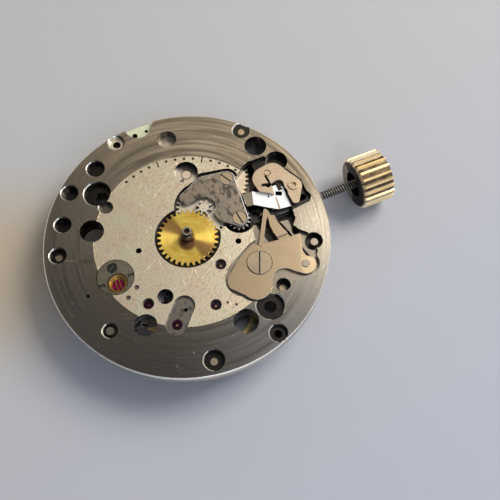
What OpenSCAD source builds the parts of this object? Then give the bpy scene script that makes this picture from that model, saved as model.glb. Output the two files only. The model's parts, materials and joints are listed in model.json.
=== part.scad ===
// Hand-wound watch movement, lying on its bridges with the dial side up.
// Millimetres. The origin is on the centre axis at the dial seat, +X points along the
// winding stem, +Y to twelve o'clock and +Z out of the dial side. Most heights are written
// as depths below the dial seat, so a larger depth lies further into the movement.

/* [Main plate] */
// Radius of the flange that rests on the case
plate_r = 12.8; // [12.7:0.1:13.6]
// Radius of the casing band below the flange
band_r = 12.5; // [12.45:0.05:12.65]
// Height of the flange
flange_t = 0.93; // [0.8:0.01:1]
// Depth of the plate's back face, which is the level of the winding stem's axis
plate_t = 2.0; // [2:0.01:2.04]
// Radius of the shallow recess inside the dial seat
recess_r = 8.36; // [8.3:0.02:8.5]
// Depth of that recess
recess_d = 0.1; // [0.08:0.01:0.12]
// Bevel along the rim of the flange
rim_bevel = 0.12; // [0.05:0.01:0.2]
// Radius of the two dial foot holes
dial_foot_r = 0.36; // [0.3:0.01:0.45]
// Depth of the two dial foot holes
dial_foot_d = 1.5; // [1.1:0.05:1.6]

/* [Hands and motion work] */
// Radius of the seat for the minute hand
minute_seat_r = 0.4; // [0.4:0.01:0.44]
// Height of the cannon pinion above the dial seat
minute_seat_z = 1.2; // [1.2:0.05:1.6]
// Length of the minute hand's seat, at the top of the cannon pinion
minute_seat_len = 0.6; // [0.4:0.05:0.6]
// Radius of the seat for the hour hand
hour_seat_r = 0.6; // [0.58:0.01:0.7]
// Height of the hour wheel's pipe above the dial seat
hour_seat_z = 0.55; // [0.4:0.05:0.7]
// Module of the hour wheel's teeth
hour_m = 0.164; // [0.162:0.001:0.166]
// Teeth of the hour wheel
hour_teeth = 32;
// Leaves of the minute wheel's pinion
minute_leaves = 8;
// Teeth of the minute wheel
minute_teeth = 36;
// Leaves of the cannon pinion
cannon_leaves = 12;
// Teeth of the setting wheel
setting_teeth = 14;
// Thickness of the motion work's cover
cover_t = 0.22; // [0.18:0.01:0.24]

/* [Going train] */
// Module of the barrel's teeth
barrel_m = 0.15; // [0.149:0.001:0.15]
// Teeth of the barrel
barrel_teeth = 76;
// Leaves of the centre pinion
centre_leaves = 12;
// Module of the centre and third wheels
train_m = 0.11; // [0.109:0.001:0.111]
// Teeth of the centre wheel
centre_teeth = 64;
// Leaves of the third pinion
third_leaves = 8;
// Teeth of the third wheel
third_teeth = 60;
// Leaves of the fourth pinion
fourth_leaves = 8;
// Module of the fourth wheel
fourth_m = 0.096; // [0.095:0.001:0.097]
// Teeth of the fourth wheel
fourth_teeth = 70;
// Leaves of the escape pinion
escape_leaves = 7;
// Teeth of the escape wheel
escape_teeth = 15;
// Thickness of the train's wheels
wheel_t = 0.14; // [0.1:0.01:0.15]
// Thickness of the barrel's wall
barrel_wall = 0.22; // [0.18:0.01:0.3]
// Thickness of the mainspring's strip
mainspring_t = 0.11; // [0.08:0.01:0.13]

/* [Escapement and balance] */
// Distance from the escape wheel to the pallet fork
escape_span = 3.08; // [3.06:0.01:3.1]
// Distance from the pallet fork to the balance
balance_span = 3.31; // [3.29:0.01:3.33]
// Outer radius of the balance rim
balance_r = 3.85; // [3.5:0.05:3.9]
// Width of the balance rim
balance_rim_w = 0.42; // [0.3:0.02:0.5]
// Height of the balance rim
balance_rim_t = 0.35; // [0.25:0.01:0.36]
// Turns of the balance spring
hairspring_turns = 9; // [6:1:10]
// Thickness of the balance spring's strip
hairspring_t = 0.035; // [0.03:0.005:0.045]

/* [Winding and setting] */
// Radius of the stem where it runs in the plate
stem_r = 0.6; // [0.5:0.01:0.62]
// Radius of the stem's threaded end
stem_thread_r = 0.42; // [0.35:0.01:0.45]
// How far the crown pulls out to set the hands
stem_travel = 0.85; // [0.6:0.05:0.9]
// Radius of the crown over its ridges
crown_r = 2.47; // [2.2:0.05:2.7]
// Length of the crown
crown_len = 3.4; // [2.8:0.1:4]
// Distance from the centre axis to the crown's inner face
crown_x = 16.7; // [15.5:0.1:17.5]
// Ridges on the crown
crown_ridges = 22; // [18:1:26]
// Module of the ratchet, crown wheel and winding pinion
winding_m = 0.2; // [0.199:0.001:0.201]
// Teeth of the ratchet wheel
ratchet_teeth = 42;
// Teeth of the crown wheel
crown_wheel_teeth = 30;
// Teeth of the winding pinion
winding_teeth = 12;
// Radius of the sliding clutch
clutch_r = 1.0; // [0.9:0.01:1.02]

/* [Bridges] */
// Depth of the bridges' underside over the train
bridge_in = 2.62; // [2.6:0.01:2.65]
// Depth of the bridges' outer face
bridge_out = 3.4; // [3.36:0.02:3.5]
// Depth of the balance cock's outer face
cock_out = 3.95; // [3.85:0.05:4.1]
// Radius of the bridge screws' heads
screw_head_r = 0.78; // [0.6:0.02:0.8]
// Radius of the bridge screws' shanks
screw_shank_r = 0.33; // [0.25:0.01:0.36]

/* [Clearances] */
// Gap round a piece that is held or screwed
held_gap = 0.01; // [0.005:0.005:0.02]
// Gap round a shaft or pivot that turns
run_gap = 0.02; // [0.015:0.005:0.03]
// Open space between a moving piece and its neighbour
air = 0.06; // [0.04:0.01:0.07]
// Edge to edge gap between neighbouring bridges
bridge_gap = 0.12; // [0.08:0.01:0.2]

/* [Hidden] */
$fn = 64;

brass = [0.80, 0.62, 0.26];
nickel = [0.70, 0.66, 0.58];
steel = [0.62, 0.60, 0.57];
tan_steel = [0.74, 0.63, 0.47];
dark_steel = [0.20, 0.19, 0.19];
ruby = [0.62, 0.06, 0.16];
gold = [0.88, 0.68, 0.25];
blue_steel = [0.16, 0.22, 0.45];

function polar(a, r) = [r * cos(a), r * sin(a)];
function dir_of(p) = atan2(p[1], p[0]);
function arc(c, r, a0, a1, n) = [for (i = [0:n]) c + polar(a0 + (a1 - a0) * i / n, r)];
// Turn of a wheel that puts one of its gaps over a tooth of the wheel it follows
function mesh_turn(turn, teeth, follower_teeth, way) =
    way + 180 + ((way - turn) * teeth / 360 + 0.5) * 360 / follower_teeth;

// Centres of the wheels, each from its neighbour's centre and the sum of their teeth
centre = [0, 0];
barrel_way = 71;
barrel_at = polar(barrel_way, (barrel_teeth + centre_leaves) * barrel_m / 2);
third_way = -63.6;
third_at = polar(third_way, (centre_teeth + third_leaves) * train_m / 2);
fourth_way = -118;
fourth_at = third_at + polar(fourth_way, (third_teeth + fourth_leaves) * train_m / 2);
escape_way = 185.2;
escape_at = fourth_at + polar(escape_way, (fourth_teeth + escape_leaves) * fourth_m / 2);
lever_way = 122;
pallet_at = escape_at + polar(lever_way, escape_span);
balance_way = 123.8;
balance_at = pallet_at + polar(balance_way, balance_span);
minute_way = 43;
minute_span = (hour_teeth + minute_leaves) * hour_m / 2;
minute_at = polar(minute_way, minute_span);
minute_m = 2 * minute_span / (cannon_leaves + minute_teeth);
setting_span = (minute_teeth + setting_teeth) * minute_m / 2;
setting_at = [minute_at[0] + sqrt(pow(setting_span, 2) - pow(minute_at[1], 2)), 0];
winding_span = (ratchet_teeth + crown_wheel_teeth) * winding_m / 2;
crown_wheel_at = [barrel_at[0] + sqrt(pow(winding_span, 2) - pow(barrel_at[1], 2)), 0];

// How far teeth reach above and below the pitch circle, in modules
addendum = 0.9;
dedendum = 1.25;

// Depths of the motion work, from the dial side
hour_top = 0.16;
hour_t = 0.2;
hour_sink = hour_top + hour_t + air;
cover_top = 0.12;
cover_seat = cover_top + cover_t;
minute_pinion_top = 0.14;
minute_top = hour_sink + 0.1;
minute_t = 0.18;
minute_sink = minute_top + minute_t + air;
cannon_in = minute_top + minute_t + 0.04;
cannon_sink = cannon_in + air;
cannon_root_r = minute_seat_r + 0.04;
setting_in = 1.14;
setting_sink = setting_in + 0.05;

// Depths of the barrel and train, inside the plate and bridges
barrel_top = 1.0;
barrel_low = 2.3;
barrel_sink = barrel_top - air;
tooth_top = 1.26;
tooth_low = 1.56;
centre_pinion_top = 1.22;
centre_pinion_low = 1.58;
centre_wheel_top = 2.38;
third_wheel_top = 1.66;
third_pinion_top = 2.24;
fourth_wheel_top = 2.0;
fourth_pinion_top = 1.56;
escape_wheel_top = 1.42;
escape_pinion_top = 1.86;
escape_pinion_low = 2.3;
escape_floor = escape_wheel_top - air;
pinion_low = bridge_in - air;
fork_t = 0.16;
balance_top = 2.58;
balance_low = balance_top + balance_rim_t;
hairspring_top = balance_low + 0.14;
hairspring_low = hairspring_top + 0.15;
cock_in = hairspring_low + 0.14;
jewel_top = 0.45;
jewel_low = 0.75;
jewel_r = 0.45;
bridge_jewel_t = 0.3;
pivot_r = 0.09;
small_pivot_r = 0.07;
centre_pivot_r = 0.2;
centre_arbor_r = 0.24;
arbor_sunk = 0.55;

// Sizes and places of the winding work, along the stem
pilot_r = 0.3;
pilot_x0 = 4.7;
square_w = 0.8;
winding_pitch_r = winding_teeth * winding_m / 2;
winding_tip_r = winding_pitch_r + 0.1;
winding_body_r = 0.92;
pinion_x0 = crown_wheel_at[0] + crown_wheel_teeth * winding_m / 2 - 0.24;
pinion_x1 = pinion_x0 + 1.3;
clutch_len = 1.5;
clutch_tooth = 0.25;
clutch_x0 = pinion_x0 - clutch_len;
clutch_x1 = pinion_x0;
tunnel_x0 = clutch_x0 - stem_travel - 0.05;
tunnel_x1 = pinion_x1 + 0.1;
tunnel_w = 2 * (clutch_r + air);
pinion_bay_w = 2 * (winding_tip_r + air);
square_x0 = tunnel_x0 + 0.05;
lever_pin_x = 10.45;
lever_pin_y = -0.1;
lever_pin_r = 0.2;
stem_groove_w = 2 * lever_pin_r + 0.14;
stem_groove_r = 0.34;
stem_shoulder_x = 12.3;
yoke_groove_w = 0.62;
yoke_groove_r = 0.66;
yoke_finger_w = 0.42;
yoke_groove_x = clutch_x0 + 0.62;
ratchet_top = bridge_out - 0.4;
ratchet_t = 0.32;

// Places on the dial side, read from the centre axis
lever_pivot = [10.87, 1.26];
lever_pivot_r = 0.32;
rivet_at = [9.12, 3.34];
lever_top = 0.12;
lever_t = 0.28;
lever_floor = lever_top + lever_t + 0.03;
yoke_pivot = [8.7, -6.31];
yoke_pivot_r = 0.34;
setting_cover_top = 0.1;
setting_cover_t = 0.3;
setting_floor = setting_cover_top + setting_cover_t;
yoke_top = setting_floor + 0.05;
yoke_wing_top = 0.18;
dark_sink = 0.9;
yoke_t = 0.28;
yoke_floor = yoke_top + yoke_t + air;
cover_screw_at = [[5.37, 4.22], setting_at];
big_screw_at = [4.97, -4.69];
big_screw_r = 1.08;
blade_root = [5.78, -3.1];
blade_tip = [7.45, -0.21];
strip_top = lever_floor + 0.02;
strip_low = strip_top + 0.2;
setting_plate_at = balance_at + [0, 0.62];
setting_plate_r = 1.65;
setting_plate_low = 0.5;
shock_r = 0.86;
shock_low = 0.85;

// Screws that hold the bridges: place, and depth of the end of the shank
barrel_screws = [[[-5.5, 9.7], 0.55], [[8.62, 8.46], 0.3], [[-4.9, 3.2], 1.2]];
train_screws = [[[-1.91, -11.3], 0.55], [[6.14, -7.3], 1.22]];
cock_screw = [[-11.2, 2.6], 0.6];
cock_foot_at = [-10.35, 3.0];
cock_foot_r = 1.55;
pallet_screw_at = [pallet_at + polar(33, 2.1), pallet_at + polar(200, 2.3)];
pallet_screw_r = 0.28;
pallet_bridge_top = 1.85;
pallet_bridge_low = 2.3;
dial_foot_at = [[-2.84, 11.62], [3.95, -11.2]];
screw_head_t = 0.3;

// Flat slab between two depths
module slab(top, low) {
    translate([0, 0, -low]) linear_extrude(low - top) children();
}

// Round post or hole between two depths
module post(at, r, top, low) {
    translate([at[0], at[1], -low]) cylinder(r = r, h = low - top);
}

// Ring between two depths
module tube(at, r_out, r_in, top, low) {
    difference() {
        post(at, r_out, top, low);
        post(at, r_in, top - 1, low + 1);
    }
}

// Outline of two discs and the straight sides that join them. The sides start a hair inside
// the discs, so they cross the discs' edges cleanly.
bar_bite = 0.001;
module bar(p, rp, q, rq) {
    way = dir_of(q - p);
    lean = acos((rp - rq) / norm(q - p));
    a = rp * (1 - bar_bite);
    b = rq * (1 - bar_bite);
    translate(p) circle(rp);
    translate(q) circle(rq);
    polygon([p + polar(way + lean, a), p + polar(way - lean, a),
        q + polar(way - lean, b), q + polar(way + lean, b)]);
}

// Outline of a toothed wheel, with the first tooth at the given turn
module teeth_outline(teeth, m, turn, root_w = 1.3, pitch_w = 0.86, tip_w = 0.4, add = addendum) {
    r = teeth * m / 2;
    step = 360 / teeth;
    half = step / 4;
    polygon([for (i = [0:teeth - 1]) let (a = turn + i * step) each [
        polar(a - half * root_w, r - dedendum * m),
        polar(a - half * pitch_w, r),
        polar(a - half * tip_w, r + add * m),
        polar(a + half * tip_w, r + add * m),
        polar(a + half * pitch_w, r),
        polar(a + half * root_w, r - dedendum * m)]]);
}

// Outline of a pinion, whose leaves have radial flanks
module leaf_outline(leaves, m, turn) {
    teeth_outline(leaves, m, turn, root_w = 0.72, pitch_w = 0.72, tip_w = 0.3, add = 0.75);
}

// Toothed wheel with a rim, spokes and hub, between two depths
module spoked_wheel(at, teeth, m, turn, top, spokes, hub_r) {
    rim_r = teeth * m / 2 - dedendum * m - 2.6 * m;
    slab(top, top + wheel_t) translate(at) {
        difference() {
            teeth_outline(teeth, m, turn);
            circle(rim_r);
        }
        circle(hub_r);
        for (i = [0:spokes - 1]) rotate(turn + i * 360 / spokes)
            translate([hub_r / 2, -1.3 * m]) square([rim_r + m - hub_r / 2, 2.6 * m]);
    }
}

// Pinion between two depths
module pinion(at, leaves, m, turn, top, low) {
    slab(top, low) translate(at) leaf_outline(leaves, m, turn);
}

// Slotted screw with its head below the bridge side, as seen from the back
module back_screw(at, head_r, shank_r, head_top, head_low, shank_top, slot_turn) {
    difference() {
        union() {
            post(at, head_r, head_top, head_low);
            post(at, shank_r, shank_top, head_top + 0.01);
        }
        translate([at[0], at[1], -head_low]) rotate(slot_turn)
            cube([2.2 * head_r, 0.16, 0.24], center = true);
    }
}

// Slotted screw with its head on the dial side
module dial_screw(at, head_r, shank_r, head_top, head_low, shank_low, slot_turn, slot_w) {
    difference() {
        union() {
            post(at, head_r, head_top, head_low);
            post(at, shank_r, head_low - 0.01, shank_low);
        }
        translate([at[0], at[1], -head_top]) rotate(slot_turn)
            cube([2.2 * head_r, slot_w, 0.2], center = true);
    }
}

// Outline of the motion work's cover, grown by a gap to give its recess
module cover_outline(grow) {
    difference() {
        union() {
            bar([1.22, 3.72], 0.62 + grow, [3.3, 4.25], 1.05 + grow);
            bar([3.3, 4.25], 1.05 + grow, cover_screw_at[0], 0.8 + grow);
            bar(cover_screw_at[0] - [0.1, 0.3], 0.85 + grow, setting_at, 0.82 + grow);
            bar([3.3, 4.25], 1.05 + grow, [4.25, 1.1], 1.2 + grow);
            bar([4.25, 1.1], 1.2 + grow, setting_at, 0.82 + grow);
        }
        if (grow == 0) translate(minute_at) circle(minute_leaves * hour_m / 2 + 0.36);
    }
}

// Outline of the well that holds the setting lever
module lever_well_outline() {
    difference() {
        union() {
            polygon([[tunnel_x0, -1.1], [tunnel_x0, 4.1], [6.9, 4.55], [7.3, 4.8],
                [7.85, 5.05], [9.5, 5.05], [11.0, 2.9], [11.75, 1.5], [11.75, 0.3],
                [11.95, -0.4], [11.55, -0.9], [9.7, -1.1]]);
            translate([10.37, 4.12]) circle(1.05);
        }
        translate(cover_screw_at[0] - [0.1, 0.3]) circle(0.97);
    }
}

// Outline of the well round the setting cover and yoke
module setting_well_outline() {
    difference() {
        union() {
            polygon([[tunnel_x0, -1.05], [5.63, -1.5], [5.5, -2.55], [4.77, -2.72],
                [2.07, -4.17], [3.1, -7.5], [5.4, -7.9], [7.4, -7.4], [8.9, -7.4],
                [10.2, -5.65], [10.1, -3.66], [9.5, -3.12], [9.2, -2.5], [9.66, -1.95],
                [9.75, -1.05]]);
            translate([3.1, -5.6]) circle(1.62);
            translate([3.9, -6.35]) circle(1.7);
            translate([8.75, -6.3]) circle(1.18);
            translate([10.27, -4.6]) circle(0.8);
        }
        translate(third_at) circle(0.75);
    }
}

// Round stretch along the stem between two distances from the centre axis
module stem_part(x0, x1, r) {
    translate([x0, 0, -plate_t]) rotate([0, 90, 0]) cylinder(r = r, h = x1 - x0);
}

// Holes for the stem, half in the plate and half in the bridge
module stem_way() {
    stem_part(pilot_x0 - 0.05, tunnel_x0 + 0.1, pilot_r + run_gap);
    stem_part(tunnel_x1 - 0.1, plate_r + 1, stem_r + run_gap);
}

// Outline of the cover over the yoke and its spring
module setting_cover_outline() {
    difference() {
        polygon(concat([[5.45, -3.1], [5.2, -2.8], [4.7, -2.95], [3.79, -3.45], [3.05, -3.96]],
            arc([2.75, -5.6], 1.1, 112, 200, 8),
            arc([3.95, -6.45], 1.4, 205, 300, 8), arc([6.4, -7.05], 1.15, 180, 30, 10),
            arc(yoke_pivot, 0.95, 240, 380, 10), [[8.9, -5.5], [8.98, -5.02], [9.48, -3.5]]));
        translate(blade_root) circle(0.24);
    }
}

// Upright part of the setting lever seen from above
module lever_outline() {
    difference() {
        union() {
            bar([8.75, 2.85], 1.2, [9.6, 3.15], 1.05);
            bar([9.6, 3.15], 1.05, lever_pivot, 0.82);
            bar(lever_pivot, 0.82, [lever_pin_x + 0.02, lever_pin_y - 0.12], 0.34);
            bar([8.75, 2.85], 1.2, lever_pivot - [0.35, -0.2], 0.75);
            polygon([[7.6, 2.5], [7.68, 1.92], [7.95, 1.68], [8.87, 1.1], [9.4, 1.6], [9.3, 2.5]]);
        }
        // Opening over the stem's tunnel, with the spring slot that runs into it
        translate([9.7, 1.88]) circle(0.43);
        polygon([[8.98, 2.0], [8.88, 0.9], [10.0, 0.4], [10.16, 0.97], [10.07, 1.42],
            [10.12, 1.8], [9.6, 2.1]]);
        polygon([[8.02, 2.22], [8.24, 2.47], [8.72, 2.36], [9.07, 2.18], [9.57, 2.3],
            [9.5, 1.7], [9.1, 2.0], [8.92, 1.98], [8.66, 1.82], [8.42, 2.12]]);
        bar([8.92, 2.3], 0.1, [8.86, 3.1], 0.12);
        translate(lever_pivot) circle(lever_pivot_r + run_gap);
    }
}

// Part of the yoke below the setting cover
module yoke_outline() {
    difference() {
        union() {
            bar(yoke_pivot, 0.62, [8.4, -4.1], 0.5);
            polygon(concat(yoke_wing, [[8.64, -3.3], [8.85, -4.2], [8.05, -4.3], [7.66, -3.3]]));
        }
        translate(yoke_pivot) circle(yoke_pivot_r + run_gap);
    }
}

// Corners of the yoke's wide end, which stands level with its spring
yoke_wing = [[7.38, -2.95], [7.27, -2.42], [7.25, -1.72], [7.46, -0.68], [8.04, -0.88],
    [8.05, -1.66], [8.27, -2.45], [8.46, -2.95]];

pins_at = [[10.27, -4.7], [-9.08, -5.63]];
pin_r = 0.36;
// Blind and through holes of the dial side ring: place, radius and depth
ring_holes = [[dial_foot_at[0], 0.7, 0.4], [dial_foot_at[1], 0.73, 0.4],
    [barrel_screws[0][0], 0.78, 0.5], [barrel_screws[1][0], 0.8, 0.25],
    [train_screws[0][0], 0.84, 0.5], [train_screws[1][0], 0.64, 1.15],
    [cock_screw[0], 0.7, 0.5], [pins_at[1], 0.59, 0.3], [[-8.45, 8.18], 0.73, 0.8],
    [[-9.95, 5.32], 0.71, 0.8], [[-6.15, 7.14], 1.18, 0.55], [[-5.81, 5.54], 0.63, 0.75],
    [[4.29, -8.72], 1.2, 0.45]];
through_holes = [[[1.72, 10.21], 0.89], [[-7.72, 3.75], 1.07], [[9.21, 6.37], 1.04],
    [[-6.15, -6.31], 0.99], [[1.84, -9.22], 1.09], [[-3.74, -4.52], 0.69],
    [[-4.47, 0.39], 0.26], [[4.03, -2.08], 0.27], [[4.29, -8.72], 0.54],
    [[-5.85, 6.9], 0.55]];
dimples = [[[-5.75, -2.8], 0.22], [[-6.72, -3.42], 0.22], [[1.03, -7.05], 0.12],
    [[1.64, -7.5], 0.12], [[-9.87, -2.03], 0.16], [[-2.6, -6.23], 0.28]];
minute_mark_r = 8.05;
notch_low = 0.5;

// Minute scale round the recess: nine dots and two strokes by twelve o'clock
module minute_marks() {
    for (i = [-4:9]) rotate(-6 * i) translate([0, minute_mark_r]) {
        if (i % 5 == 0) translate([-0.06, -0.36]) square([0.12, 0.62]);
        else circle(0.13);
    }
}

// Oblong well round the escape jewel
module escape_slot() {
    bar(escape_at + polar(48, 1.72), 0.93, escape_at + polar(48, -0.1), 0.93);
}

// Space for the escape wheel, fork and roller, seen from the back
module escapement_outline() {
    translate(escape_at) circle(escape_span * cos(30) + 0.2);
    bar(pallet_at, 1.7, escape_at + polar(lever_way, 1.2), 2.2);
    bar(pallet_at, 1.0, balance_at, 1.25);
}

module pallet_bridge_outline(grow) {
    bar(pallet_screw_at[0], 0.55 + grow, pallet_at, 0.72 + grow);
    bar(pallet_screw_at[1], 0.55 + grow, pallet_at, 0.72 + grow);
}

module cock_foot_outline(grow) {
    intersection() {
        translate(cock_foot_at) circle(cock_foot_r + grow);
        circle(band_r - 0.05 + grow);
    }
}

crown_sink_r = crown_wheel_teeth * winding_m / 2 + 0.45;
crown_lobe_r = crown_sink_r + 0.32;

// Outline of the bridge over the barrel and winding wheels
module barrel_bridge_outline() {
    difference() {
        intersection() {
            circle(band_r - 0.1);
            union() {
                polygon([[13, -2.2], [4.0, -2.2], [2.4, 1.2], [-6.4, 1.9], [-8.3, 9.7],
                    [-4, 13], [13, 13]]);
                translate(crown_wheel_at) circle(crown_lobe_r);
            }
        }
        circle(centre_lobe_r + bridge_gap);
        translate(balance_at) circle(balance_r + 0.3);
        cock_foot_outline(bridge_gap);
    }
}

centre_lobe_r = 1.5;

// Outline of the bridge over the train
module train_bridge_outline() {
    difference() {
        intersection() {
            circle(band_r - 0.1);
            union() {
                bar(centre, centre_lobe_r, third_at, 1.5);
                bar(third_at, 1.5, fourth_at, 2.0);
                bar(third_at, 1.5, train_screws[1][0], 1.5);
                bar(fourth_at, 2.0, train_screws[0][0], 1.6);
                bar(train_screws[0][0], 1.6, train_screws[1][0], 1.5);
                bar(fourth_at, 2.0, escape_at, 1.25);
                polygon([third_at, train_screws[1][0], train_screws[0][0], fourth_at]);
                polygon([escape_at, train_screws[0][0], fourth_at]);
            }
        }
        translate(crown_wheel_at) circle(crown_lobe_r + bridge_gap);
        translate(balance_at) circle(balance_r + 0.3);
    }
}

module mainplate() color(nickel) difference() {
    union() {
        difference() {
            union() {
                post(centre, plate_r, rim_bevel, flange_t);
                translate([0, 0, -rim_bevel])
                    cylinder(r1 = plate_r, r2 = plate_r - rim_bevel, h = rim_bevel);
                post(centre, band_r, flange_t - 0.01, plate_t);
            }
            post(centre, recess_r, -1, recess_d);
            // Sinks of the motion work
            slab(-1, cover_seat) {
                cover_outline(0.14);
                bar([3.3, 4.25], 1.38, [5.42, 4.2], 1.06);
            }
            post(centre, hour_teeth * hour_m / 2 + 0.33, -1, hour_sink);
            post(centre, cannon_leaves * minute_m / 2 + 0.3, -1, cannon_sink);
            post(minute_at, minute_teeth * minute_m / 2 + 0.25, -1, minute_sink);
            post(setting_at, 1.5, -1, minute_sink);
            post(setting_at, setting_teeth * minute_m / 2 + 0.2, -1, setting_sink);
            // Wells of the winding and setting work
            slab(-1, lever_floor) lever_well_outline();
            slab(-1, 1.7) polygon([[tunnel_x0, 1.6], [tunnel_x0, 4.1], [6.9, 4.5],
                [7.8, 5.0], [8.2, 5.0], [8.2, 1.6]]);
            slab(-1, 1.5) translate([8.6, 2.45]) square([1.7, 2.2], center = true);
            slab(-1, setting_floor) setting_well_outline();
            slab(-1, 0.75) translate([10.27, -4.6]) circle(0.8);
            slab(-1, strip_low - 0.02) translate([tunnel_x0, 1]) square([2.2, 0.7]);
            slab(-1, yoke_floor) {
                bar(yoke_pivot, 0.85, [8.0, -3.6], 0.85);
                bar([7.9, -3.2], 0.85, [7.25, -1.2], 0.9);
                bar([7.2, -3.2], 0.6, [6.9, -1.3], 0.75);
            }
            slab(-1, 0.45) bar(blade_root, 0.26, [6.5, -1.0], 0.5);
            // Dark sinks beside the yoke, inside the lever and at the head of its well
            slab(-1, dark_sink) {
                polygon([[8.2, -1.0], [9.73, -1.1], [9.64, -1.95], [9.18, -2.5],
                    [9.48, -3.12], [9.58, -3.3], [9.0, -3.3], [8.88, -3.1], [9.04, -2.3],
                    [9.04, -1.72], [8.2, -1.56]]);
                polygon([[9.8, 1.7], [9.92, 0.85], [10.15, 0.62], [10.35, 1.0], [10.2, 1.8]]);
                translate([10.37, 4.12]) circle(1.03);
            }
            slab(0.4, plate_t + 1) polygon([[tunnel_x0, -tunnel_w / 2],
                [tunnel_x0, tunnel_w / 2], [pinion_x0 - 0.1, tunnel_w / 2],
                [pinion_x0 - 0.1, pinion_bay_w / 2], [tunnel_x1, pinion_bay_w / 2],
                [tunnel_x1, -pinion_bay_w / 2], [pinion_x0 - 0.1, -pinion_bay_w / 2],
                [pinion_x0 - 0.1, -tunnel_w / 2]]);
        }
        // Bright strip of the plate that bridges the stem's tunnel
        slab(strip_top, strip_low) polygon([[7.12, 2.25], [8.13, 1.63], [8.92, 1.07],
            [9.08, 2.02], [9.62, 2.02], [9.97, 1.66], [9.97, -0.52], [8.7, -0.38],
            [7.9, 0.13], [6.75, 0.92]]);
        slab(strip_top + 0.1, strip_low) polygon([[7.15, 2.25], [6.78, 0.92],
            [tunnel_x0 - 0.1, 1.05], [tunnel_x0 - 0.1, 2.35]]);
    }
    // Scored line across the strip, and the window in it
    slab(-1, strip_top + 0.04) bar([8.96, 0.84], 0.05, [8.78, -0.5], 0.09);
    slab(-1, 1) translate([9.35, 1.1]) rotate(-24) square([0.6, 0.42], center = true);
    // Stem bearing, half in the plate and half in the bridge
    stem_way();
    // Way for the yoke's finger
    slab(-1, plate_t - yoke_groove_r + 0.04) bar([yoke_groove_x, -1.15],
        yoke_finger_w / 2 + 0.14, [yoke_groove_x - stem_travel, -1.25], yoke_finger_w / 2 + 0.14);
    // Way for the setting lever's pin
    slab(0.3, plate_t) bar([lever_pin_x, lever_pin_y], 0.3,
        [lever_pin_x + stem_travel, lever_pin_y], 0.3);
    post(lever_pivot, screw_shank_r + held_gap, -1, 1.3);
    post(yoke_pivot, yoke_pivot_r + held_gap, -1, 1.5);
    post(big_screw_at, 0.42 + held_gap, -1, 1.3);
    post(cover_screw_at[0], 0.3 + held_gap, -1, 0.8);
    post(setting_at, 0.34 + held_gap, -1, 1.5);
    post(minute_at, 0.16 + run_gap, -1, 0.88);
    // Sinks for the barrel and train, from the back
    post(barrel_at, barrel_teeth * barrel_m / 2 + 0.3, barrel_sink, plate_t + 1);
    post(centre, centre_leaves * barrel_m / 2 + 0.3, centre_pinion_top - air, plate_t + 1);
    post(centre, centre_teeth * train_m / 2 + 0.3, plate_t - 0.02, plate_t + 1);
    post(third_at, third_teeth * train_m / 2 + 0.25, third_wheel_top - air, plate_t + 1);
    post(fourth_at, fourth_teeth * fourth_m / 2 + 0.25, fourth_wheel_top - air, plate_t + 1);
    post(fourth_at, 0.75, fourth_pinion_top - air, plate_t + 1);
    slab(escape_floor, plate_t + 1) escapement_outline();
    slab(pallet_bridge_top, plate_t + 1) pallet_bridge_outline(air);
    post(balance_at, balance_r + 0.25, plate_t - 0.05, plate_t + 1);
    // Pivot holes and jewel seats
    post(centre, centre_arbor_r + run_gap, -1, plate_t);
    post(barrel_at, 1.12, -1, 0.62);
    post(barrel_at, 0.5 + run_gap, -1, plate_t);
    for (at = [third_at, fourth_at, escape_at, pallet_at]) {
        post(at, 0.5, -1, jewel_top);
        post(at, jewel_r + held_gap, -1, jewel_low);
        post(at, 0.3, -1, plate_t);
    }
    slab(-1, 0.42) escape_slot();
    post(escape_at + polar(40, 1.5), 0.17, -1, 0.9);
    // Seat of the balance's lower setting
    post(setting_plate_at, setting_plate_r + held_gap, -1, setting_plate_low);
    post(balance_at, shock_r + held_gap, -1, shock_low);
    post(balance_at, 0.4, -1, plate_t);
    post(setting_plate_at + [0, 0.9], 0.25 + held_gap, -1, 1.0);
    // Holes of the ring
    for (h = ring_holes) {
        post(h[0], h[1], -1, h[2]);
        translate([h[0][0], h[0][1], -0.1]) cylinder(r1 = h[1], r2 = h[1] + 0.12, h = 0.12);
    }
    for (h = through_holes) post(h[0], h[1], -1, plate_t + 1);
    for (h = dimples) post(h[0], h[1], -1, 0.3);
    for (at = pins_at) post(at, pin_r + held_gap, -1, 1.3);
    for (at = dial_foot_at) post(at, dial_foot_r, -1, dial_foot_d);
    for (s = concat(barrel_screws, train_screws, [cock_screw]))
        post(s[0], screw_shank_r + held_gap, s[1] - 0.15, plate_t + 1);
    for (at = pallet_screw_at) post(at, pallet_screw_r + held_gap, 1.1, plate_t + 1);
    slab(-1, recess_d + 0.06) minute_marks();
    // Notch at twelve o'clock
    slab(-1, notch_low) intersection() {
        bar([-0.35, 12.6], 1.3, [0.1, 13.4], 1.3);
        translate([-2, 11]) square([3.16, 3]);
    }
    post([-0.93, 12.0], 0.26, -1, 0.85);
    post([0.25, 12.1], 0.16, -1, 0.8);
}

module plate_jewels() color(ruby)
    for (at = [third_at, fourth_at, escape_at, pallet_at])
        tube(at, jewel_r, pivot_r + run_gap, jewel_top + 0.02, jewel_low);

module dial_side_pins() color(tan_steel) {
    for (at = pins_at) post(at, pin_r, 0.1, 1.3);
    post(yoke_pivot, yoke_pivot_r, 0.06, 1.5);
    post(setting_at, 0.34, cover_seat + 0.02, 1.5);
}

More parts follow.
